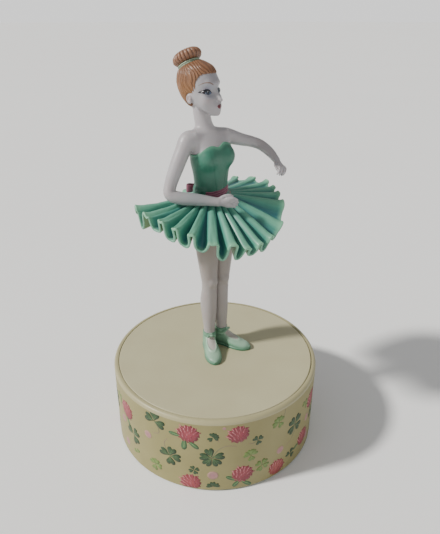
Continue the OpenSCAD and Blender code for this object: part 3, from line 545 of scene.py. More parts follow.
def shoe_field(s):
    def f(P):
        u, v = foot_frame(P, s)
        w = np.interp(u, FOOT[:, 0], FOOT[:, 1])
        h = np.interp(u, FOOT[:, 0], FOOT[:, 2])
        z = P[:, 2]
        d = (np.sqrt((v / w) ** 2 + ((z - .42 * h) / (.58 * h)) ** 2) - 1) * np.minimum(w, .58 * h)
        d = np.maximum(d, np.maximum(-5.2 - u, u - 17.8))
        # opening's rolled edge, the collar of the ribbon, the sole's welt
        rho = np.sqrt(((u - 5.6) / 5.6) ** 2 + (v / 2.5) ** 2)
        d = d - .30 * np.exp(-((rho - 1) / .16) ** 2) * (z > 2.5)
        Q = P if s < 0 else mirror(P)
        leg = stack(Q, leg_rows) - .34
        collar = np.maximum(leg, np.maximum(7.0 - z, z - 10.7)) - .12 * np.cos((z - 9) * 3.2)
        d = smin(d, collar, .9)
        knot = ball(Q, (.2 - 1.2, 5.3 - 3.6, 9.4), (1.0, .75, .7))
        bows = smin(ball(Q, (-2.4, 2.3, 9.3), (1.3, .7, .8)), ball(Q, (.6, 1.6, 9.0), (1.3, .7, .8)), .3)
        d = smin(d, smin(knot, bows, .3), .4)
        welt = np.maximum((np.sqrt((v / (w + .12)) ** 2) - 1) * w, np.abs(z - .55) - .55)
        welt = np.maximum(welt, np.maximum(-5.0 - u, u - 17.4))
        return np.maximum(smin(d, welt, .5), -z)
    return f


def shoe_paint_and_top_light(s):
    def f(q, n):
        P = q - up_z(0)
        u, v = foot_frame(P, s)
        rho = np.sqrt(((u - 5.6) / 5.6) ** 2 + (v / 2.5) ** 2)
        k = np.clip((.93 - rho) / .12, 0, 1) * (P[:, 2] > 2.2) * (P[:, 2] < 8.6)
        rim = np.exp(-((rho - 1.02) / .13) ** 2) * (P[:, 2] > 2.2)
        mint, deep, pale, light = map(hue, ((122, 164, 136), (64, 120, 96), (180, 174, 166), (172, 198, 176)))
        c = towards(deep, mint, np.clip((P[:, 2] - .3) / 3.2, 0, 1))
        c = towards(c, light, rim * .7)
        # painted light: faces that look up are painted lighter
        c = towards(c, light, np.clip(n[:, 2], 0, 1) ** 2 * .55)
        c = towards(c, pale, k)
        collar = (P[:, 2] > 8.3) * (rho > .5)
        return np.where(collar[:, None], deep * .35 + mint * .65, c)
    return f


for s, name in ((-1, "right_shoe"), (1, "left_shoe")):
    c = LEG_MID + s * (LEG_MID - .2)
    x0, x1 = (c - 12, LEG_MID + .6) if s < 0 else (LEG_MID - .6, c + 12)
    carve(name, shoe_field(s), (x0, -13, -.6), (x1, 12, 12), .2,
          [across(LEG_MID + s * .03, -s), level(.02, -1)], shoe_paint_and_top_light(s), MINT, "mint")

# ---- bodice, sash and bow

ANG = circle(240)


def around(phi, keys, soft=7.0):
    """Periodic rounded curve through (degrees, value) pairs, 0 to the dancer's left and -90 to the front."""
    k = sorted(keys)
    i = np.arange(720)
    d = i / 2.0 - 180
    y = np.interp(d, [a + turn for turn in (-360, 0, 360) for a, _ in k], [b for _, b in k] * 3)
    w = np.exp(-(np.minimum(i, 720 - i) / 2 / soft) ** 2)
    y = np.real(np.fft.ifft(np.fft.fft(y) * np.fft.fft(w / w.sum())))
    return np.interp((np.degrees(phi) + 180) % 360 - 180, d, y, period=360)


def radial(phi, z, r0=2.0, r1=16.0):
    """Distance from the waist's axis at height z to the trunk's surface, in direction phi."""
    lo, hi = np.full(phi.shape, r0), np.full(phi.shape, r1)
    for _ in range(22):
        m = (lo + hi) / 2
        P = np.stack([WAIST[0] + m * np.cos(phi), WAIST[1] + m * np.sin(phi), z], -1).reshape(-1, 3)
        inside = (trunk(P) < 0).reshape(phi.shape)
        lo, hi = np.where(inside, m, lo), np.where(inside, hi, m)
    return lo


def round_waist(r, ph, z):
    return np.stack([WAIST[0] + r * np.cos(ph), WAIST[1] + r * np.sin(ph), z + TOP], -1)


# height of the neckline round the body
NECK = [(-180, 108.6), (-165, 109.0), (-152, 110.2), (-140, 112.1), (-128, 112.8), (-114, 112.7), (-100, 111.9),
        (-88, 112.2), (-72, 113.3), (-56, 113.7), (-40, 113.0), (-20, 111.2), (0, 110.0), (45, 108.6),
        (90, 108.1), (135, 108.3)]


def bodice(nz=70, foot=88.0):
    phi = np.repeat(ANG[None], nz, 0)
    top = around(phi, NECK)
    t = np.linspace(0, 1, nz)[:, None]
    z = foot + (top - foot) * t
    r = radial(phi, z)
    # soft panels: two lines from the bust to the point of the waist
    seam = 0
    for c0, c1 in ((-128, -100), (-52, -74)):
        line = np.radians(c1 + (c0 - c1) * t)
        seam = seam + np.exp(-((phi + 2 * PI * (phi > PI) * -1 - line) / .05) ** 2)
    seam = np.clip(seam, 0, 1) * (t < .93)
    rim = np.exp(-((t - 1) * (top - foot) / .8) ** 2)
    # the bodice's point lies over the sash on her right
    cover = around(phi, [(-215, 0), (-205, 1), (-150, 1), (-140, 0), (90, 0)], 3.0)
    out = r + .34 - .10 * seam + .16 * rim + .8 * cover * np.clip((foot + 5.6 - z) / 1.6, 0, 1)
    bend = np.radians([30, 60, 90, 120, 150])[:, None]
    back = list(range(nz - 1, -1, -6)) + [0]
    rr = np.concatenate([out, out[-1] - .42 * (1 - np.cos(bend)), r[back] - .55])
    zz = np.concatenate([z, z[-1] + .34 * np.sin(bend), z[back]])
    mid, dark, light = map(hue, ((57, 115, 95), (42, 100, 82), (108, 168, 138)))
    k, s = np.zeros((2,) + rr.shape)
    k[:nz], k[nz:nz + 5] = rim, 1
    s[:nz] = seam
    c = towards(dark, mid, np.clip(np.clip((zz - foot) / 25, 0, 1) * 1.6, 0, 1))
    c = towards(towards(c, light, k * .6), dark, s * .5)
    rings("bodice", round_waist(rr, np.repeat(ANG[None], len(rr), 0), zz), c, MINT, "mint", 60)


def sash(n=24):
    phi = np.repeat(ANG[None], n, 0)
    zc = np.linspace(0, 1, n)[:, None]
    dip = around(phi, [(-130, -1.1), (-90, -.7), (-40, .2), (0, .3), (90, .3), (180, -.2)])
    z = 89.0 + 3.4 * zc + dip
    r = radial(phi, z)
    fold = .5 + .5 * np.cos(zc * 2 * PI * 3 + 1.3 * np.sin(2 * phi) + .8 * np.sin(5 * phi + 1))
    edge = np.sin(np.clip(zc, 0, 1) * PI) ** .35
    out = r + .36 + (.16 + .30 * fold) * edge
    rr, zz, ph, f = (np.concatenate([a, b[::-1]]) for a, b in ((out, r - .4), (z, z), (phi, phi), (fold, fold)))
    # painted highlight and shade: the sash is painted lighter on the folds' crests and darker in their hollows
    rings("waist_sash", round_waist(rr, ph, zz), towards(hue((190, 150, 170)), np.ones(3), f), ROSE, "rose", 60)


bodice()
sash()


def band(path, width, thick, up=(0, 0, 1), wave=0.0):
    """A closed strip along a path of points; width and thickness go by share of length."""
    p = catmull(path, 8)
    n = len(p)
    t = np.linspace(0, 1, n)
    d = np.gradient(p, axis=0)
    d /= np.linalg.norm(d, axis=1)[:, None]
    s = np.cross(d, np.array(up, float))
    s /= np.linalg.norm(s, axis=1)[:, None]
    u = np.cross(s, d)
    w = np.interp(t, *zip(*width))
    h = np.interp(t, *zip(*thick))
    a = circle(28)
    ca, sa = np.cos(a), np.sin(a)
    ex = lambda c, e: np.sign(c) * np.abs(c) ** e
    U = ex(sa, .5)[None, :, None] * (w / 2)[:, None, None] * u[:, None, :]
    rip = 1 + wave * np.sin(6 * sa)[None, :]
    S = ((ex(ca, .7)[None, :] * rip) * (h / 2)[:, None])[..., None] * s[:, None, :]
    return (p[:, None, :] + U + S).reshape(-1, 3), capped(n, len(a))


def bow():
    c = np.array([3.0, 7.0 + 6.7 + 2.0, 89.9 + TOP])
    V, F = [], []

    def add(*rows, **more):
        v, f = band(*rows, **more)
        F.extend([[i + len(V) for i in q] for q in f])
        V.extend(v + c)

    for s in (-1, 1):
        add([(0, 0, 0), (s * 2.6, .9, .3), (s * 5.8, 1.5, .5), (s * 7.9, .6, .4), (s * 8.0, -.5, .3),
             (s * 6.0, -1.3, .1), (s * 2.8, -.8, -.1), (0, -.3, 0)],
            [(0, 1.6), (.3, 3.5), (.5, 4.1), (.7, 3.5), (1, 1.6)], [(0, .5), (1, .5)], wave=.1)
        add([(s * .3, .2, -.6), (s * 1.4, .9, -1.3), (s * 2.6, 1.6, -1.9), (s * 3.6, 2.5, -2.2)],
            [(0, 1.0), (1, 1.9)], [(0, .5), (1, .42)], up=(s * .8, -.1, .6))
    add([(-1.15, 0, 0), (-.7, .55, 0), (0, .8, 0), (.7, .55, 0), (1.15, 0, 0)],
        [(0, 1.4), (.5, 2.5), (1, 1.4)], [(0, .9), (.5, 1.3), (1, .9)], wave=.15)
    make("back_bow", V, F, ROSE, "dancer", "back_bow", "rose", sharp=60)


bow()

# ---- tutu

PLEATS = 25
DROPS = [0.8, 1.6, 5.6, 12.6, 17.0, 7.4, 5.0, 8.2, 15.6, 18.6, 15.8, 5.1]
SWING = [1.1, 1.2, 1.7, 2.4, 3.2, 3.8, 3.9, 3.8, 3.5, 2.8, 2.0, 1.3]
CRUMPLE = [.10, .10, .10, .14, .36, .72, .66, .34, .15, .12, .10, .10]


def ring_of(values, a):
    """Rounded periodic curve through values 30 degrees apart."""
    i = np.floor(a / 30).astype(int)
    t = a / 30 - i
    D = np.array(values)
    p, q, r, w = D[(i + 11) % 12], D[i % 12], D[(i + 1) % 12], D[(i + 2) % 12]
    return .5 * (2 * q + (r - p) * t + (2 * p - 5 * q + 4 * r - w) * t * t + (3 * q - p - 3 * r + w) * t ** 3)


def tutu():
    n = PLEATS * 34
    a = np.arange(n) * 360.0 / n
    s = np.linspace(0, 1, 40)
    A, S = np.meshgrid(a, s)
    rad = np.radians(A)
    ph = PLEATS * rad + 1.3 * np.sin(3 * rad + .35) + .9 * np.sin(5 * rad + 1.3) + .5 * np.sin(8 * rad + 2.2)
    # full round ridges, tighter valleys, no two alike
    swing = ring_of(SWING, A) * (1 + .20 * np.sin(9 * rad + .7) + .16 * np.sin(13 * rad + 1.9))
    g = np.sin(ph) + .16 * np.cos(2 * ph) - .05
    # walls lean over towards the hem, as in cloth that hangs in bells
    lean = np.radians(-1.0 * S ** 1.5 * np.sin(2 * ph) + 1.3 * S * np.sin(ph + 1.1 + np.sin(4 * rad)))
    th_a = rad + lean
    ca, sa = np.cos(th_a), np.sin(th_a)
    r_in = 1 / np.sqrt((ca / 8.36) ** 2 + (sa / 6.76) ** 2)
    r_out = 34.7 + 1.5 * np.cos(2 * rad) + 1.0 * g + .5 * np.sin(7 * rad + 1)
    r = r_in + S * (r_out - r_in)
    flare = (.35 * np.clip(S * 6, 0, 1) + (swing - .35) * S ** 1.7) * g
    # small cross ripples, as in gathered cloth that was cast, and an upturned lip
    rip = (ring_of(CRUMPLE, A) * np.sin(ph * 3 + 5 * S + 2 * np.sin(2 * rad)) + .07 * np.sin(ph * 5 - 9 * S + 1)) * S
    lip = .7 * np.clip((S - .86) / .14, 0, 1) ** 2
    drop = ring_of(DROPS, A)
    z = 87.2 - drop * (1 - .07 * np.clip(drop / 18, 0, 1)) * S ** 1.25 + flare + rip + lip - .35 + .7 * (1 - S) ** 5
    # the sheet has one thickness, measured across its slope
    P = np.stack([3.0 + r * ca, 7.0 + r * sa, z + TOP], -1)
    du = np.roll(P, -1, 1) - np.roll(P, 1, 1)
    dv = np.gradient(P, axis=0)
    N = np.cross(dv, du)
    N /= np.linalg.norm(N, axis=-1)[..., None] + 1e-9
    N *= np.sign(N[..., 2:3].mean())
    th = (.62 - .08 * S)[..., None]
    out = P[-1] - P[-2]
    out /= np.linalg.norm(out, axis=-1)[:, None]
    rows, tone = [], []
    for j in range(len(s)):
        rows.append(P[j] + N[j] * th[j])
        tone.append((g[j], S[j], np.ones(n)))
    for q in (25, 50, 75, 105, 130, 155):
        q = math.radians(q)
        rows.append(P[-1] + out * .72 * math.sin(q) + N[-1] * .68 * math.cos(q))
        tone.append((g[-1], S[-1] * 1.08, np.ones(n)))
    for j in range(len(s) - 1, -1, -1):
        rows.append(P[j] - N[j] * th[j])
        tone.append((-g[j], S[j], np.zeros(n)))
    v, tone = np.array(rows), np.array(tone)
    G, S2, top = tone[:, 0], tone[:, 1], tone[:, 2]
    full = np.clip(S2, 0, 1)
    ang = np.repeat(rad[:1], len(v), 0)
    valley, mid, ridge, rim, under = map(hue, TUTU)
    k = np.clip((G + 1) / 2, 0, 1)
    streak = .5 + .5 * np.sin(ang * 173 + 3 * np.sin(ang * 31) + 2 * S2)
    speck = .5 + .5 * np.sin(ang * 61 + 9 * S2) * np.sin(ang * 117 - 23 * S2 + 2 * np.sin(ang * 19))
    # the pleats are painted teal in their hollows and light mint on their crests, more so towards the hem: the skirt's
    # two-tone paint, with painted shade in the hollows and painted highlight on the crests
    c = towards(valley, mid, np.clip(k * 1.9, 0, 1))
    c = towards(c, ridge, np.clip((k - .55) / .45, 0, 1) ** 1.3 * (.25 + .75 * full))
    c = towards(c, valley * .8, .30 * streak * (1 - k) * np.clip(S2 * 2, 0, 1))
    c = towards(c, ridge, .10 * speck * S2)
    c = towards(c, rim, np.clip((S2 - .93) / .07, 0, 1) * .6)
    # the underside is painted darker towards the waist: painted shade under the skirt
    c = np.where(top[..., None] > .5, c, under * (.55 + .45 * full[..., None]))
    rings("tutu", v, c, MINT, "mint", 80)


tutu()

# ---- head

EYE_X, EYE_Z = 4.1, -1.45
HC = np.array([-.9, 10.9, 137.5])
HT = math.radians(16)
ROT = np.array([[math.cos(HT), math.sin(HT)], [-math.sin(HT), math.cos(HT)]])


def to_head(P):
    q = P - HC
    xy = q[:, :2] @ ROT.T
    return np.column_stack([xy, q[:, 2]])


def from_head(q):
    xy = q[..., :2] @ ROT
    return np.concatenate([xy, q[..., 2:3]], -1) + HC + np.array([0, 0, TOP])


SKULL = catmull([[0, -8.6, -11.6, 1.3, 1.4], [0, -8.6, -11.1, 2.2, 2.1], [0, -8.1, -10.2, 3.2, 2.9],
                 [0, -7.0, -8.9, 4.4, 4.2], [0, -5.4, -7.2, 5.6, 5.9], [0, -3.8, -5.4, 6.4, 7.4],
                 [0, -2.3, -3.6, 6.9, 8.6], [0, -1.0, -1, 7.1, 8.9], [0, -.3, 3, 7.6, 9.4], [0, .2, 7, 6.8, 8.1],
                 [0, .4, 9.6, 4.3, 5.1], [0, .4, 10.6, 1.6, 2.2]], 5)


def head_field(P):
    q = to_head(P)
    d = stack(q, SKULL)
    d = smin(d, stack(P, trunk_rows), 1.6)
    m = q.copy()
    m[:, 0] = np.abs(m[:, 0])
    # chin, cheeks, brow
    d = smin(d, ball(q, (0, -9.55, -9.9), (1.9, 1.8, 1.6)), 1.6)
    d = smin(d, ball(m, (3.6, -7.1, -4.7), (2.3, 1.9, 2.2)), 2.2)
    d = smin(d, tube(m, [[1.0, -8.8, 2.2, .4], [3.2, -8.1, 2.4, .3]]), 2.4)
    # eye sockets and the lids' soft rise
    d = smax(d, -ball(m, (EYE_X, -10.7, EYE_Z + .2), (2.5, 2.0, 1.5)), 2.1)
    d = smin(d, ball(m, (EYE_X, -6.75, EYE_Z), (2.1, 1.85, 1.55)), .5)
    # nose
    d = smin(d, tube(q, [[0, -9.4, .4, .5], [0, -10.6, -2.4, .5], [0, -12.45, -4.55, .74]]), 1.0)
    d = smin(d, ball(m, (.8, -10.9, -4.95), (.5, .75, .45)), .45)
    # mouth
    d = smin(d, ball(q, (0, -9.9, -7.4), (2.4, 1.75, 2.0)), 1.5)
    d = smin(d, tube(m, [[0, -11.75, -6.85, .38], [.55, -11.65, -6.7, .40], [1.45, -10.95, -7.05, .18]]), .35)
    d = smin(d, tube(m, [[0, -11.6, -7.75, .50], [.85, -11.3, -7.6, .36], [1.4, -10.9, -7.25, .18]]), .35)
    d = smax(d, -tube(m, [[0, -12.15, -7.23, .12], [1.4, -11.2, -7.15, .12]]), .22)
    # ear: a shell with a hollow
    e = m - np.array([6.75, -.1, -4.4])
    c, s = math.cos(.25), math.sin(.25)
    e = np.column_stack([e[:, 0], e[:, 1] * c - e[:, 2] * s, e[:, 1] * s + e[:, 2] * c])
    ear = ball(e, (0, 0, 0), (.95, 1.55, 2.1))
    ear = smax(ear, -ball(e, (1.05, -.15, .25), (.65, 1.0, 1.45)), .3)
    ear = smin(ear, ball(e, (.4, -.85, -.3), (.45, .45, .6)), .3)
    return smin(d, ear, .35)


# soft spots of colour, some blush and some painted shade: place on the head, radius, colour and strength
BLUSH_AND_SHADE_SPOTS = [((0, -12.2, -4.6), (1.1, 1.1, 1.0), (1, .84, .83), .5), ((0, -9.8, -10.2), (1.9, 1.9, 1.1), (1, .90, .89), .4),
         # the cool grey spots on the forehead and over the whole face are painted shade: the hair's shadow on the
         # forehead, and the face in shade
         ((0, -11, -7.2), (2.6, 1.6, 1.8), (.98, .84, .84), .45), ((0, -9, 4.4), (7.5, 4.5, 3.0), (.62, .64, .72), .85),
         ((0, -6, -2), (8.5, 8.5, 7.5), (.78, .82, .84), .85)]
for side in (-1, 1):
    BLUSH_AND_SHADE_SPOTS += [((side * 4.3, -8.2, -5.0), (2.3, 2.3, 1.8), (1.0, .86, .85), .5),
              ((side * 7.2, -.1, -4.4), (1.3, 1.6, 2.0), (.94, .72, .68), .6),
              ((side * EYE_X, -8.8, .5), (2.6, 2, 1.4), (.60, .68, .84), .8),
              ((side * EYE_X, -8.8, -3.0), (2.4, 2, .9), (.66, .74, .88), .7),
              ((side * 2.4, -9.6, 3.2), (2.6, 2, 1.2), (.80, .74, .74), .4)]
head_blush_and_shade = blush_and_shade([(tuple(from_head(np.array(p))), *rest) for p, *rest in BLUSH_AND_SHADE_SPOTS])
bm = bmesh.new()
bm.from_mesh(carve("head", head_field, (-11.5, -3.5, 125), (9.5, 21, 149.5), .2, [level(NECK_Z, -1)], head_blush_and_shade))
FACE = BVHTree.FromBMesh(bm)
bm.free()
FWD = Vector((math.sin(HT) * -1, math.cos(HT), 0))


def on_face(x, z):
    """Point of the face and its normal, at x across and z up in the head's own frame."""
    p = from_head(np.array([[x, -22.0, z]]))[0]
    hit, nor, _, _ = FACE.ray_cast(Vector(p) * MM, FWD)
    if hit is None:
        return np.array(p), np.array((0, -1.0, 0))
    if nor.dot(FWD) > 0:
        nor = -nor
    return np.array(hit) / MM, np.array(nor)


class Batch:
    """Thin closed patches of paint, gathered into one mesh."""

    def __init__(self):
        self.v, self.f, self.c = [], [], []

    def patch(self, outline, centre, place, high, low, colour, colour2=None, rings=3):
        o, c = np.asarray(outline, float), np.asarray(centre, float)
        n, base = len(o), len(self.v)
        k1, k2 = hue(colour), hue(colour2 or colour)
        self.v.append(place(*c, high))
        self.c.append(k1)
        for j in range(1, rings + 1):
            s = j / rings
            self.v += [place(*(c + (p - c) * s), high if j < rings else high * .8) for p in o]
            self.c += [k1 + (k2 - k1) * s] * n
        self.v += [place(*p, -low) for p in o] + [place(*c, -low)]
        self.c += [k2] * (n + 1)
        f = [(base, base + 1 + i, base + 1 + (i + 1) % n) for i in range(n)]
        for j in range(rings):
            a = base + 1 + j * n
            f += [(a + i, a + n + i, a + n + (i + 1) % n, a + (i + 1) % n) for i in range(n)]
        last = base + 1 + rings * n
        self.f += f + [(last + (i + 1) % n, last + i, last + n) for i in range(n)]

    def stroke(self, pts, width, place, high, low, colour, steps=5, colour2=None):
        """A brush stroke along a curve, with its width given by share of length."""
        p = catmull(pts, steps)
        t = np.linspace(0, 1, len(p))
        w = np.interp(t, *zip(*width)) / 2
        d = np.gradient(p, axis=0)
        d /= np.linalg.norm(d, axis=1)[:, None] + 1e-9
        nrm = np.column_stack([-d[:, 1], d[:, 0]])
        base, n = len(self.v), len(p)
        k1, k2 = hue(colour), hue(colour2 or colour)
        for i in range(n):
            for off, h in ((1, -low), (1, high * .6), (0, high), (-1, high * .6), (-1, -low)):
                q = p[i] + nrm[i] * w[i] * off
                self.v.append(place(q[0], q[1], h))
                self.c.append(k1 + (k2 - k1) * t[i])
        for i in range(n - 1):
            a, b = base + i * 5, base + (i + 1) * 5
            for k in range(5):
                self.f.append((a + k, a + (k + 1) % 5, b + (k + 1) % 5, b + k))
        self.f.append(tuple(base + k for k in (4, 3, 2, 1, 0)))
        self.f.append(tuple(base + (n - 1) * 5 + k for k in range(5)))

    def build(self, name, mat, body, slot):
        me = make(name, self.v, self.f, mat, body, None, slot, np.array(self.c)).data
        b = bmesh.new()
        b.from_mesh(me)
        bmesh.ops.recalc_face_normals(b, faces=b.faces)
        b.to_mesh(me)
        b.free()


def on_head(x, z, h):
    p, n = on_face(x, z)
    return p + n * h


def almond(s, w, up, down, n=28, tilt=.12):
    a = circle(n)
    x = np.cos(a) * w
    z = np.where(np.sin(a) > 0, np.sin(a) * up, np.sin(a) * down) * (1 - .18 * np.cos(a) ** 2)
    return np.column_stack([x * s, z + tilt * x])


def disc(r, n=24):
    return np.column_stack([np.cos(circle(n)) * r, np.sin(circle(n)) * r * .92])


white, iris, pupil, lash, glint, brow, lips, lid = (Batch() for _ in range(8))
# lines round the eye: points, width by share of length, height, colours and steps
EYE_LINES = (
    (lash, ((-1.95, -.30), (-1.2, .72), (0, 1.10), (1.2, .86), (1.95, .16), (2.35, .02)),
     [(0, .20), (.35, .66), (.75, .84), (1, .16)], .16, (14, 17, 28), 6),
    (lash, ((1.3, -.58), (1.8, -.28), (2.15, -.05)), [(0, .06), (.5, .24), (1, .08)], .12, (30, 36, 52), 4),
    (lid, ((-1.4, -.70), (0, -.86), (1.3, -.58), (1.9, -.14)), [(0, .06), (.5, .16), (1, .16)], .09, (92, 92, 112), 5),
    (lid, ((-1.7, 1.0), (-.2, 1.82), (1.3, 1.58), (2.3, .86)), [(0, .06), (.5, .20), (1, .06)], .05,
     (140, 128, 142), 5),
    (brow, ((-2.0, 3.2), (-.4, 4.05), (1.2, 3.95), (2.5, 3.0)), [(0, .34), (.4, .52), (1, .12)], .05,
     (122, 100, 92), 6, (140, 118, 108)),
)
for s in (-1, 1):
    ce = np.array([s * EYE_X, EYE_Z])
    white.patch(almond(s, 1.95, 1.10, .78) + ce, ce, on_head, .05, .25, (128, 146, 172), (72, 90, 118))
    ci = ce + np.array([.05 * s, .06])
    cg = ci + np.array([-.30, .34])
    iris.patch(disc(1.06) + ci, ci, on_head, .10, .2, (20, 56, 84), (6, 20, 40))
    pupil.patch(disc(.52, 18) + ci, ci, on_head, .14, .2, (8, 12, 20), rings=2)
    glint.patch(disc(.16, 12) + cg, cg, on_head, .18, .1, (250, 250, 252), rings=1)
    for batch, pts, width, high, colour, *rest in EYE_LINES:
        batch.stroke([ce + np.array(p) * np.array([s, 1]) for p in pts], width, on_head, high, PATCH_LOW, colour, *rest)
upper_lip = [(-1.3, -7.1), (-.8, -6.72), (-.35, -6.5), (0, -6.66), (.35, -6.5), (.8, -6.72), (1.3, -7.1), (.7, -7.18),
             (0, -7.24), (-.7, -7.18)]
lower_lip = [(-1.2, -7.16), (-.7, -7.24), (0, -7.28), (.7, -7.24), (1.2, -7.16), (.9, -7.72), (.4, -8.06), (0, -8.12),
             (-.4, -8.06), (-.9, -7.72)]
for lip, z, c1, c2 in ((upper_lip, -6.92, (84, 16, 30), (100, 26, 40)), (lower_lip, -7.6, (112, 32, 48), (98, 26, 40))):
    smooth = catmull([(1.3 * x, -7.2 + 1.18 * (y + 7.2)) for x, y in lip + [lip[0]]], 3)[:-1]
    lips.patch(smooth, (0, z), on_head, .05, .2, c1, c2)
lips.stroke([(-1.2, -7.15), (0, -7.26), (1.2, -7.15)], [(0, .08), (.5, .18), (1, .08)], on_head, .10, PATCH_LOW,
            (66, 14, 26), 6)
for s in (-1, 1):
    lips.stroke([(s * .4, -5.35), (s * .8, -5.25)], [(0, .12), (.5, .24), (1, .10)], on_head, .04, .1, (128, 84, 84), 4)
for batch, name in ((white, "eye_whites"), (iris, "irises"), (pupil, "pupils"), (glint, "eye_glints"),
                    (lash, "lash_lines"), (lid, "lid_lines"), (brow, "brows"), (lips, "lips")):
    batch.build(name, INK, "dancer", "skin")

# ---- hair
LEAN = math.radians(29)
UP = np.array([0, math.sin(LEAN), math.cos(LEAN)])
BACK = np.array([0, math.cos(LEAN), -math.sin(LEAN)])
HAIR_ROWS = catmull([[0, 1.1, -9.4, 2.4, 1.9], [0, 1.3, -8, 4.1, 3.2], [0, 1.4, -6, 5.9, 4.9], [0, 1.2, -3, 7.4, 7.3],
                     [0, .9, 1, 8.3, 9.4], [0, .5, 5, 8.3, 9.7], [0, .7, 8.6, 6.8, 7.9], [0, 1.0, 10.8, 3.4, 4.2],
                     [0, 1.0, 11.6, 1.2, 1.6]], 5)
LINE = [(0, 5.7), (21, 5.8), (38, 5.6), (46, 5.1), (53, 4.2), (57, 2.8), (60, .6), (62, -1.4), (66, -2.9), (71, -3.4),
        (76, -2.6), (88, -2.0), (98, -2.8), (106, -5.2), (114, -7.0), (126, -8.2), (150, -8.8), (180, -9.0)]


def strands(q, n=34):
    """Wave of combed strands that run from the hairline to the bun."""
    u, b = q @ UP, q @ BACK
    th = np.arctan2(q[:, 0], -b)
    wob = .10 * np.sin(3 * th + .35 * u) + .05 * np.sin(7 * th - .5 * u + 1)
    a = .5 + .5 * np.sin(n * (th + wob) + .9 * np.sin(u * .7 + 4 * th))
    b2 = .5 + .5 * np.sin(79 * (th + .6 * wob) + 2 * np.sin(.5 * u + 5 * th))
    return a, b2


def hair_field(P):
    q = to_head(P)
    d = stack(q, HAIR_ROWS)
    az = np.degrees(np.arctan2(np.abs(q[:, 0]), -(q[:, 1] - .2)))
    line = np.interp(az, *zip(*LINE))
    a, b = strands(q)
    line = line + .30 * (a - .5)
    edge = (line - q[:, 2]) * .8
    d = d + .30 * (1 - a) ** 1.3 + .12 * b
    d = smax(d, edge, .9)
    # hollow that the head fills
    return smax(d, -(stack(q, SKULL) + 1.2), .3)


def hair_streaks_and_shade(q, n):
    h = to_head(q - up_z(0))
    a, b = strands(h)
    lo, hi, gold = map(hue, ((88, 58, 40), (140, 98, 69), (164, 118, 64)))
    # strands are painted lighter on their crests and darker in the grooves between them: the hair's streaks, with
    # painted shade in the grooves
    k = np.clip(.26 + .52 * a + .26 * b, 0, 1)[:, None]
    c = lo + (hi - lo) * k
    side = np.clip(np.exp(-((h[:, 2] + 2) / 5) ** 2) * np.abs(h[:, 0]) / 9, 0, 1)[:, None]
    return c + (gold - c) * side * .4


def bun_cut():
    p = from_head((UP * 9.62)[None])[0]
    n = np.array([ROT.T[0] @ UP[:2], ROT.T[1] @ UP[:2], UP[2]])
    return tuple(p), tuple(n)


carve("hair", hair_field, (-12, -2, 126.5), (10.5, 22.5, 149.8), .2, [bun_cut()], hair_streaks_and_shade, HAIR, "copper_hair")


def at_bun(r, a, z):
    """Rings of points round the bun's own axis."""
    return np.stack([r * np.cos(a), r * np.sin(a), z + 0 * a], -1)


def place_bun(v):
    """From the bun's own frame, with its axis up, to the part's frame."""
    q = v[..., :1] * np.array([1.0, 0, 0]) + v[..., 1:2] * BACK + v[..., 2:3] * UP
    return from_head(q)


def bun():
    prof = catmull([[0, 0], [2.6, 0], [4.5, .05], [5.7, .65], [6.45, 1.7], [6.5, 2.9], [5.95, 4.0], [4.7, 4.85],
                    [3.0, 5.2], [1.4, 5.15], [.7, 4.9], [0, 4.85]], 5)[1:-1]
    n = 22 * 20
    a = circle(n)
    t = np.linspace(0, 1, len(prof))[:, None]
    r, z = prof[:, :1], prof[:, 1:]
    rib = np.abs(np.sin(11 * a + .25 * np.sin(2 * a)))[None] ** .7
    fine = .5 + .5 * np.sin(154 * a + 2 * np.sin(5 * a))[None]
    w = np.clip((t - .12) / .15, 0, 1) * np.clip((1.02 - t) / .25, 0, 1)
    v = at_bun(np.clip(r * (1 - .085 * (1 - rib) * w) - .05 * fine * w, .02, None), a, z - .12 * (1 - rib) * w + 11.16)
    v[..., :2] = v[..., :2] * 1.04 + np.array([.35, -.25])
    # painted shade: the grooves between the bun's rolls are painted darker
    k = np.clip(.1 + .75 * rib + .2 * fine - .25 * (1 - w), 0, 1)
    rings("hair_bun", place_bun(v), towards(hue((62, 38, 32)), hue((150, 108, 82)), k), HAIR, "copper_hair", 70,
          capped(len(prof), n))


def ribbon(low=9.63, high=11.15, inner=3.6):
    bend = np.radians(-100 + 200 * np.arange(14) / 13)
    prof = [(x + .42 * math.cos(q), y + .42 * math.sin(q)) for x, y in ((4.72, 10.02), (4.82, 10.74)) for q in bend]
    prof = np.array(prof + [(inner, high), (inner, low)])
    r, z = prof[:, :1], np.clip(prof[:, 1:], low, high)
    a = circle(192)
    # painted highlight and shade: the band is painted lighter on its outermost rolls and darker where it turns in
    k = np.clip((r - 4.7) / .5, 0, 1)[..., None] * np.ones((1, len(a), 1))
    c = hue((70, 98, 78)) * (1 - k) + hue((150, 164, 140)) * k
    rings("hair_ribbon", place_bun(at_bun(r + .05 * np.sin(40 * a)[None] * (r > 4), a, z)), c, MINT, "mint", 60)


bun()
ribbon()

# ---- clover print

stems, leaves, veins, light, blooms, petals, dots = (Batch() for _ in range(7))


def on_wall(cx, cz, turn=0.0, s=1.0):
    """Places print at an angle in degrees from the front and a height, turned and scaled."""
    c, k = math.cos(math.radians(turn)), math.sin(math.radians(turn))

    def place(x, y, h):
        u, w = (x * c - y * k) * s, (x * k + y * c) * s
        a = math.radians(cx) + u / R
        z = min(max(cz + w, WALL_LOW), WALL_HIGH)
        return np.array([(R + h) * math.sin(a), -(R + h) * math.cos(a), z])
    return place


def turned(x, y, ang, middle, cx=0, cy=0):
    """An outline turned to its angle and moved to its stalk, and its middle."""
    c, s = math.cos(ang), math.sin(ang)
    return np.column_stack([cx + x * c + y * s, cy - x * s + y * c]), (cx + middle * s, cy + middle * c)


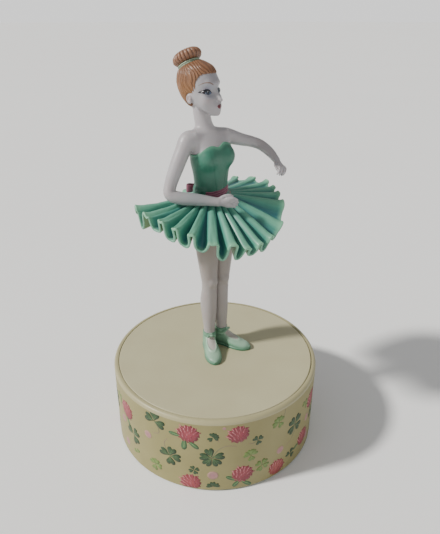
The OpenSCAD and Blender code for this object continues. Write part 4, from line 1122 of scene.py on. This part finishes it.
def heart(ang, l, w):
    """A leaflet, pointed at the stalk and notched at the far end."""
    a = circle(40)
    y = (13 * np.cos(a) - 5 * np.cos(2 * a) - 2 * np.cos(3 * a) - np.cos(4 * a) + 17) * l / 29
    return turned(np.sin(a) ** 3 * w / 2, y, ang, .48 * l)


def teardrop(cx, cy, ang, l, w, n=12):
    a = circle(n)
    swell = .5 - .5 * np.cos(a)
    return turned(np.sin(a) * w / 2 * (.6 + .4 * swell), swell * l, ang, .5 * l, cx, cy)


def clover(place, batch, col, col2, vein, angles, l, w, stem=None):
    for ang in angles:
        a = math.radians(ang)
        o, c = heart(a, l, w * 1.12)
        batch.patch(o, c, place, .035, PATCH_LOW, col, col2, 2)
        for q, ll in ((0, .62), (-.5, .5), (.5, .5)) if vein else ():
            x1, y1 = math.sin(a + q * .55) * l * (.22 + ll), math.cos(a + q * .55) * l * (.22 + ll)
            x0, y0 = math.sin(a) * l * .15, math.cos(a) * l * .15
            veins.stroke([(x0, y0), ((x0 + x1) / 2, (y0 + y1) / 2), (x1, y1)], [(0, .22), (1, .08)], place,
                         .055, .05, vein, 2)
    if stem:
        stems.stroke(stem, [(0, .42), (.7, .32), (1, .2)], place, .03, PATCH_LOW, (96, 116, 76), 6, (150, 118, 104))


def blossom(place, warm, leaf=(), stem=None):
    a = circle(84)
    r = 5.3 + .34 * np.cos(13 * a) + .24 * np.cos(21 * a + 1)
    base = (158 + 14 * warm, 66 + 18 * warm, 76 - 2 * warm)
    deep = (122 + 18 * warm, 44 + 18 * warm, 54)
    blooms.patch(np.column_stack([r * np.cos(a), r * .98 * np.sin(a)]), (.3, -.3), place, .045, PATCH_LOW,
                 base, deep, 4)
    rng = np.random.RandomState(7)
    # florets overlap downwards like scales, lit on the upper left
    for row in range(6):
        y = 3.3 - row * 1.5
        half = math.sqrt(max(0, 5.0 ** 2 - y ** 2))
        m = max(2, int(half * 1.35))
        for i in range(m):
            x = (-1 + 2 * (i + .5 * (row % 2) + .25) / m) * half + rng.uniform(-.15, .15)
            if x * x + (y - .6) ** 2 > 4.9 ** 2:
                continue
            o, c = teardrop(x, y - .5, x / 4.6 + rng.uniform(-.15, .15), 2.2, .74)
            lit = np.clip(.55 + .5 * (-x + .7 * y) / 4.2 + rng.uniform(-.28, .28), 0, 1)
            mixc = lambda p, q: tuple(p[t] + (q[t] - p[t]) * lit for t in range(3))
            petals.patch(o, c, place, .06 + .01 * (row % 2), .05, mixc((150, 58, 78), (218, 152, 154)),
                         mixc((126, 44, 58), (182, 96, 102)), 1)
    for x, y, ang, l, w in leaf:
        o, c = teardrop(x, y, math.radians(ang), l, w, 22)
        leaves.patch(o, c, place, .035, PATCH_LOW, (84, 122, 72), (50, 88, 54), 2)
        dx, dy = math.sin(math.radians(ang)), math.cos(math.radians(ang))
        veins.stroke([(x, y), (x + dx * l * .5, y + dy * l * .5), (x + dx * l * .92, y + dy * l * .92)],
                     [(0, .26), (1, .06)], place, .055, .05, (150, 176, 118), 3)
    if stem:
        stems.stroke(stem, [(0, .5), (1, .3)], place, .03, PATCH_LOW, (112, 128, 84), 6)


# degrees from the front, height, turn, size, warmth, leaves (x, y, angle, length, width) and stem
BLOSSOMS = (
    (-13.2, 36.4, -8, 1.0, 0, [(-3.6, -2.6, -92, 6.0, 2.8), (-1.4, -4.0, 176, 6.6, 3.6), (.6, -4.4, 122, 6.4, 3.0)]),
    (11.6, 36.4, 12, .96, 0),
    (-54.5, 31.4, 4, 1.0, .2, [(-1.2, -4.6, 150, 5.2, 2.2)], [(0, -5), (.6, -8), (1.8, -11.4)]),
    (14.2, 10.2, -24, 1.0, .05, [(-.6, -4.4, -84, 6.8, 2.8), (.2, -4.6, -160, 4.6, 3.0), (1.4, -4.4, 104, 6.6, 2.8)]),
    (-12.6, 5.0, 28, .98, .25),
    (34.5, 6.2, -30, .92, .9),
    (56.8, 12.0, -12, .96, .3, [(-4.2, -2.0, -120, 5.0, 2.2)]),
)
# size, batch, inner and outer colour, and vein colour
BIG = 1.13, leaves, (56, 84, 48), (38, 63, 35), (90, 118, 72)
SMALL = 1.0, *BIG[1:4], None
PALE = 1.0, light, (114, 138, 68), (96, 120, 56), (134, 154, 88)
FAINT = *PALE[:4], None
# kind, degrees from the front, height, turn, angles of the leaflets, their length and width, and stem
CLOVERS = (
    (BIG, -31.8, 38.0, 6, (-70, 12, 108), 5.2, 4.4, [(0, 0), (1.6, -3.4), (1.2, -6.0), (-1.4, -6.6)]),
    (BIG, -49.2, 19.0, 14, (-50, 60, 160), 5.0, 4.3),
    (BIG, -23.5, 19.4, -8, (-76, 8, 84, 168), 5.2, 4.0, [(0, 0), (-2.6, 3.6), (-3.4, 6.6), (-2.2, 9.2)]),
    (BIG, -1.5, 22.8, 0, (-84, -18, 76, 146, -146), 5.4, 3.7, [(0, 0), (2.6, 4.4), (6.4, 6.4), (10.4, 5.6)]),
    (BIG, 46.8, 27.5, 20, (-20, 62, 150, -110), 5.3, 4.0, [(0, 0), (-1.6, -4.2), (-5.0, -6.4), (-8.0, -6.4)]),
    (SMALL, -1.0, 35.6, 12, (0, 120, 240, 60), 2.9, 2.4, [(0, 0), (1.6, -1.6), (2.0, -3.4)]),
    (SMALL, 21.8, 30.2, -14, (-60, 40, 150), 3.0, 2.8, [(0, 0), (-2.2, -1.8), (-4.4, -1.6)]),
    (SMALL, -10.7, 13.6, 24, (0, 88, 180, 270), 2.8, 2.2),
    (SMALL, -1.0, 3.2, 4, (-70, 0, 70), 3.4, 2.6),
    (SMALL, 44.6, 8.6, 30, (-30, 60, 160), 3.6, 2.8),
    (PALE, 18.3, 21.6, 10, (-62, 6, 66, 180), 3.8, 3.2),
    (PALE, 24.9, 12.6, -18, (-70, 14, 96, 190), 4.0, 3.2),
    (PALE, 34.0, 36.0, 22, (-80, -8, 60, 170), 3.9, 3.2, [(0, 0), (4.4, 2.0), (6.2, 4.8), (7.4, 7.0)]),
    (PALE, -32.8, 9.0, -8, (-60, 8, 84, 186), 3.9, 3.2),
    (FAINT, -46.8, 7.8, 40, (-40, 60), 3.0, 2.2),
    (PALE, 56.5, 33.5, -16, (-62, 30, 120), 3.4, 2.8),
)
# degrees from the front, height and radius
DOTS = (-36.8, 26.9, 2.3), (36.2, 16.9, 2.3), (-1.1, 11.0, 2.7), (-57.0, 8.5, 2.2), (60.5, 22.5, 2.2), (4.5, 41.0, 0.9)
# the second and third repeats have each sprig turned a few degrees
for turn, tilt in ((0, 0), (120, 6), (240, -5)):
    W = lambda a, z, t=0, s=1.0: on_wall(a + turn - 38, z, t + tilt, s)
    # the third repeat leaves out the last blossom
    for az, z, t, s, *rest in BLOSSOMS[:6 if turn == 240 else 7]:
        blossom(W(az, z, t, s), *rest)
    for (s, batch, *look), az, z, t, *rest in CLOVERS:
        clover(W(az, z, t, s), batch, *look, *rest)
    for az, z, rr in DOTS:
        a = circle(26)
        r = rr * (1 + .05 * np.cos(9 * a))
        dots.patch(np.column_stack([r * np.cos(a), r * np.sin(a)]), (0, 0), W(az, z), .03, PATCH_LOW,
                   (168, 114, 126), (172, 136, 122), 4)
for b, name in ((stems, "print_stems"), (leaves, "print_leaves"), (light, "print_light_leaves"), (veins, "print_veins"),
                (blooms, "print_blossoms"), (petals, "print_petals"), (dots, "print_dots")):
    b.build(name, PRINT, "base", "print")

# ---- floor, light and camera

bpy.ops.mesh.primitive_grid_add(x_subdivisions=8, y_subdivisions=8, size=80.0, location=(0, 0, -0.00002))
floor = bpy.context.object
floor.name = "floor"
floor.data.materials.append(material("floor_paper", (.94, .94, .94, 1), .9, (.92, .92, .92, 1), 2, .5, 0.0))

# a pale studio: even light from above, brighter where the sweep meets the horizon
world = bpy.data.worlds.new("studio")
bpy.context.scene.world = world
world.use_nodes = True
wn, wl = world.node_tree.nodes, world.node_tree.links.new
tc, sep, mr = wn.new("ShaderNodeTexCoord"), wn.new("ShaderNodeSeparateXYZ"), wn.new("ShaderNodeMapRange")
wl(tc.outputs["Generated"], sep.inputs["Vector"])
wl(sep.outputs["Z"], mr.inputs["Value"])
for key, val in (("From Min", .04), ("From Max", .16), ("To Min", 1.16), ("To Max", SKY)):
    mr.inputs[key].default_value = val
wn["Background"].inputs["Color"].default_value = (1, 1, .995, 1)
wl(mr.outputs["Result"], wn["Background"].inputs["Strength"])


# the sun looks from its place to the middle of the object
SUN_AT = Vector((-.927, .375, .90))
key = bpy.data.lights.new("key", "SUN")
key.energy = 4.3
key.color = (1, .98, .93)
key.angle = math.radians(6)
sun = bpy.data.objects.new("key", key)
sun.location = SUN_AT
sun.rotation_euler = (Vector((0, 0, .09)) - SUN_AT).to_track_quat("-Z", "Y").to_euler()
bpy.context.scene.collection.objects.link(sun)

cam = bpy.data.cameras.new("camera")
cam.lens = 33.71
cam.sensor_width = 36
cam.shift_x = 0.0092
cam.clip_start = .01
camera = bpy.data.objects.new("camera", cam)
camera.location = (-.1402, -.1794, .2095)
down = math.radians(26.35)    # how far the camera looks down
look = Vector((.616 * math.cos(down), .788 * math.cos(down), -math.sin(down)))
camera.rotation_euler = look.to_track_quat("-Z", "Y").to_euler()
bpy.context.scene.collection.objects.link(camera)
bpy.context.scene.camera = camera
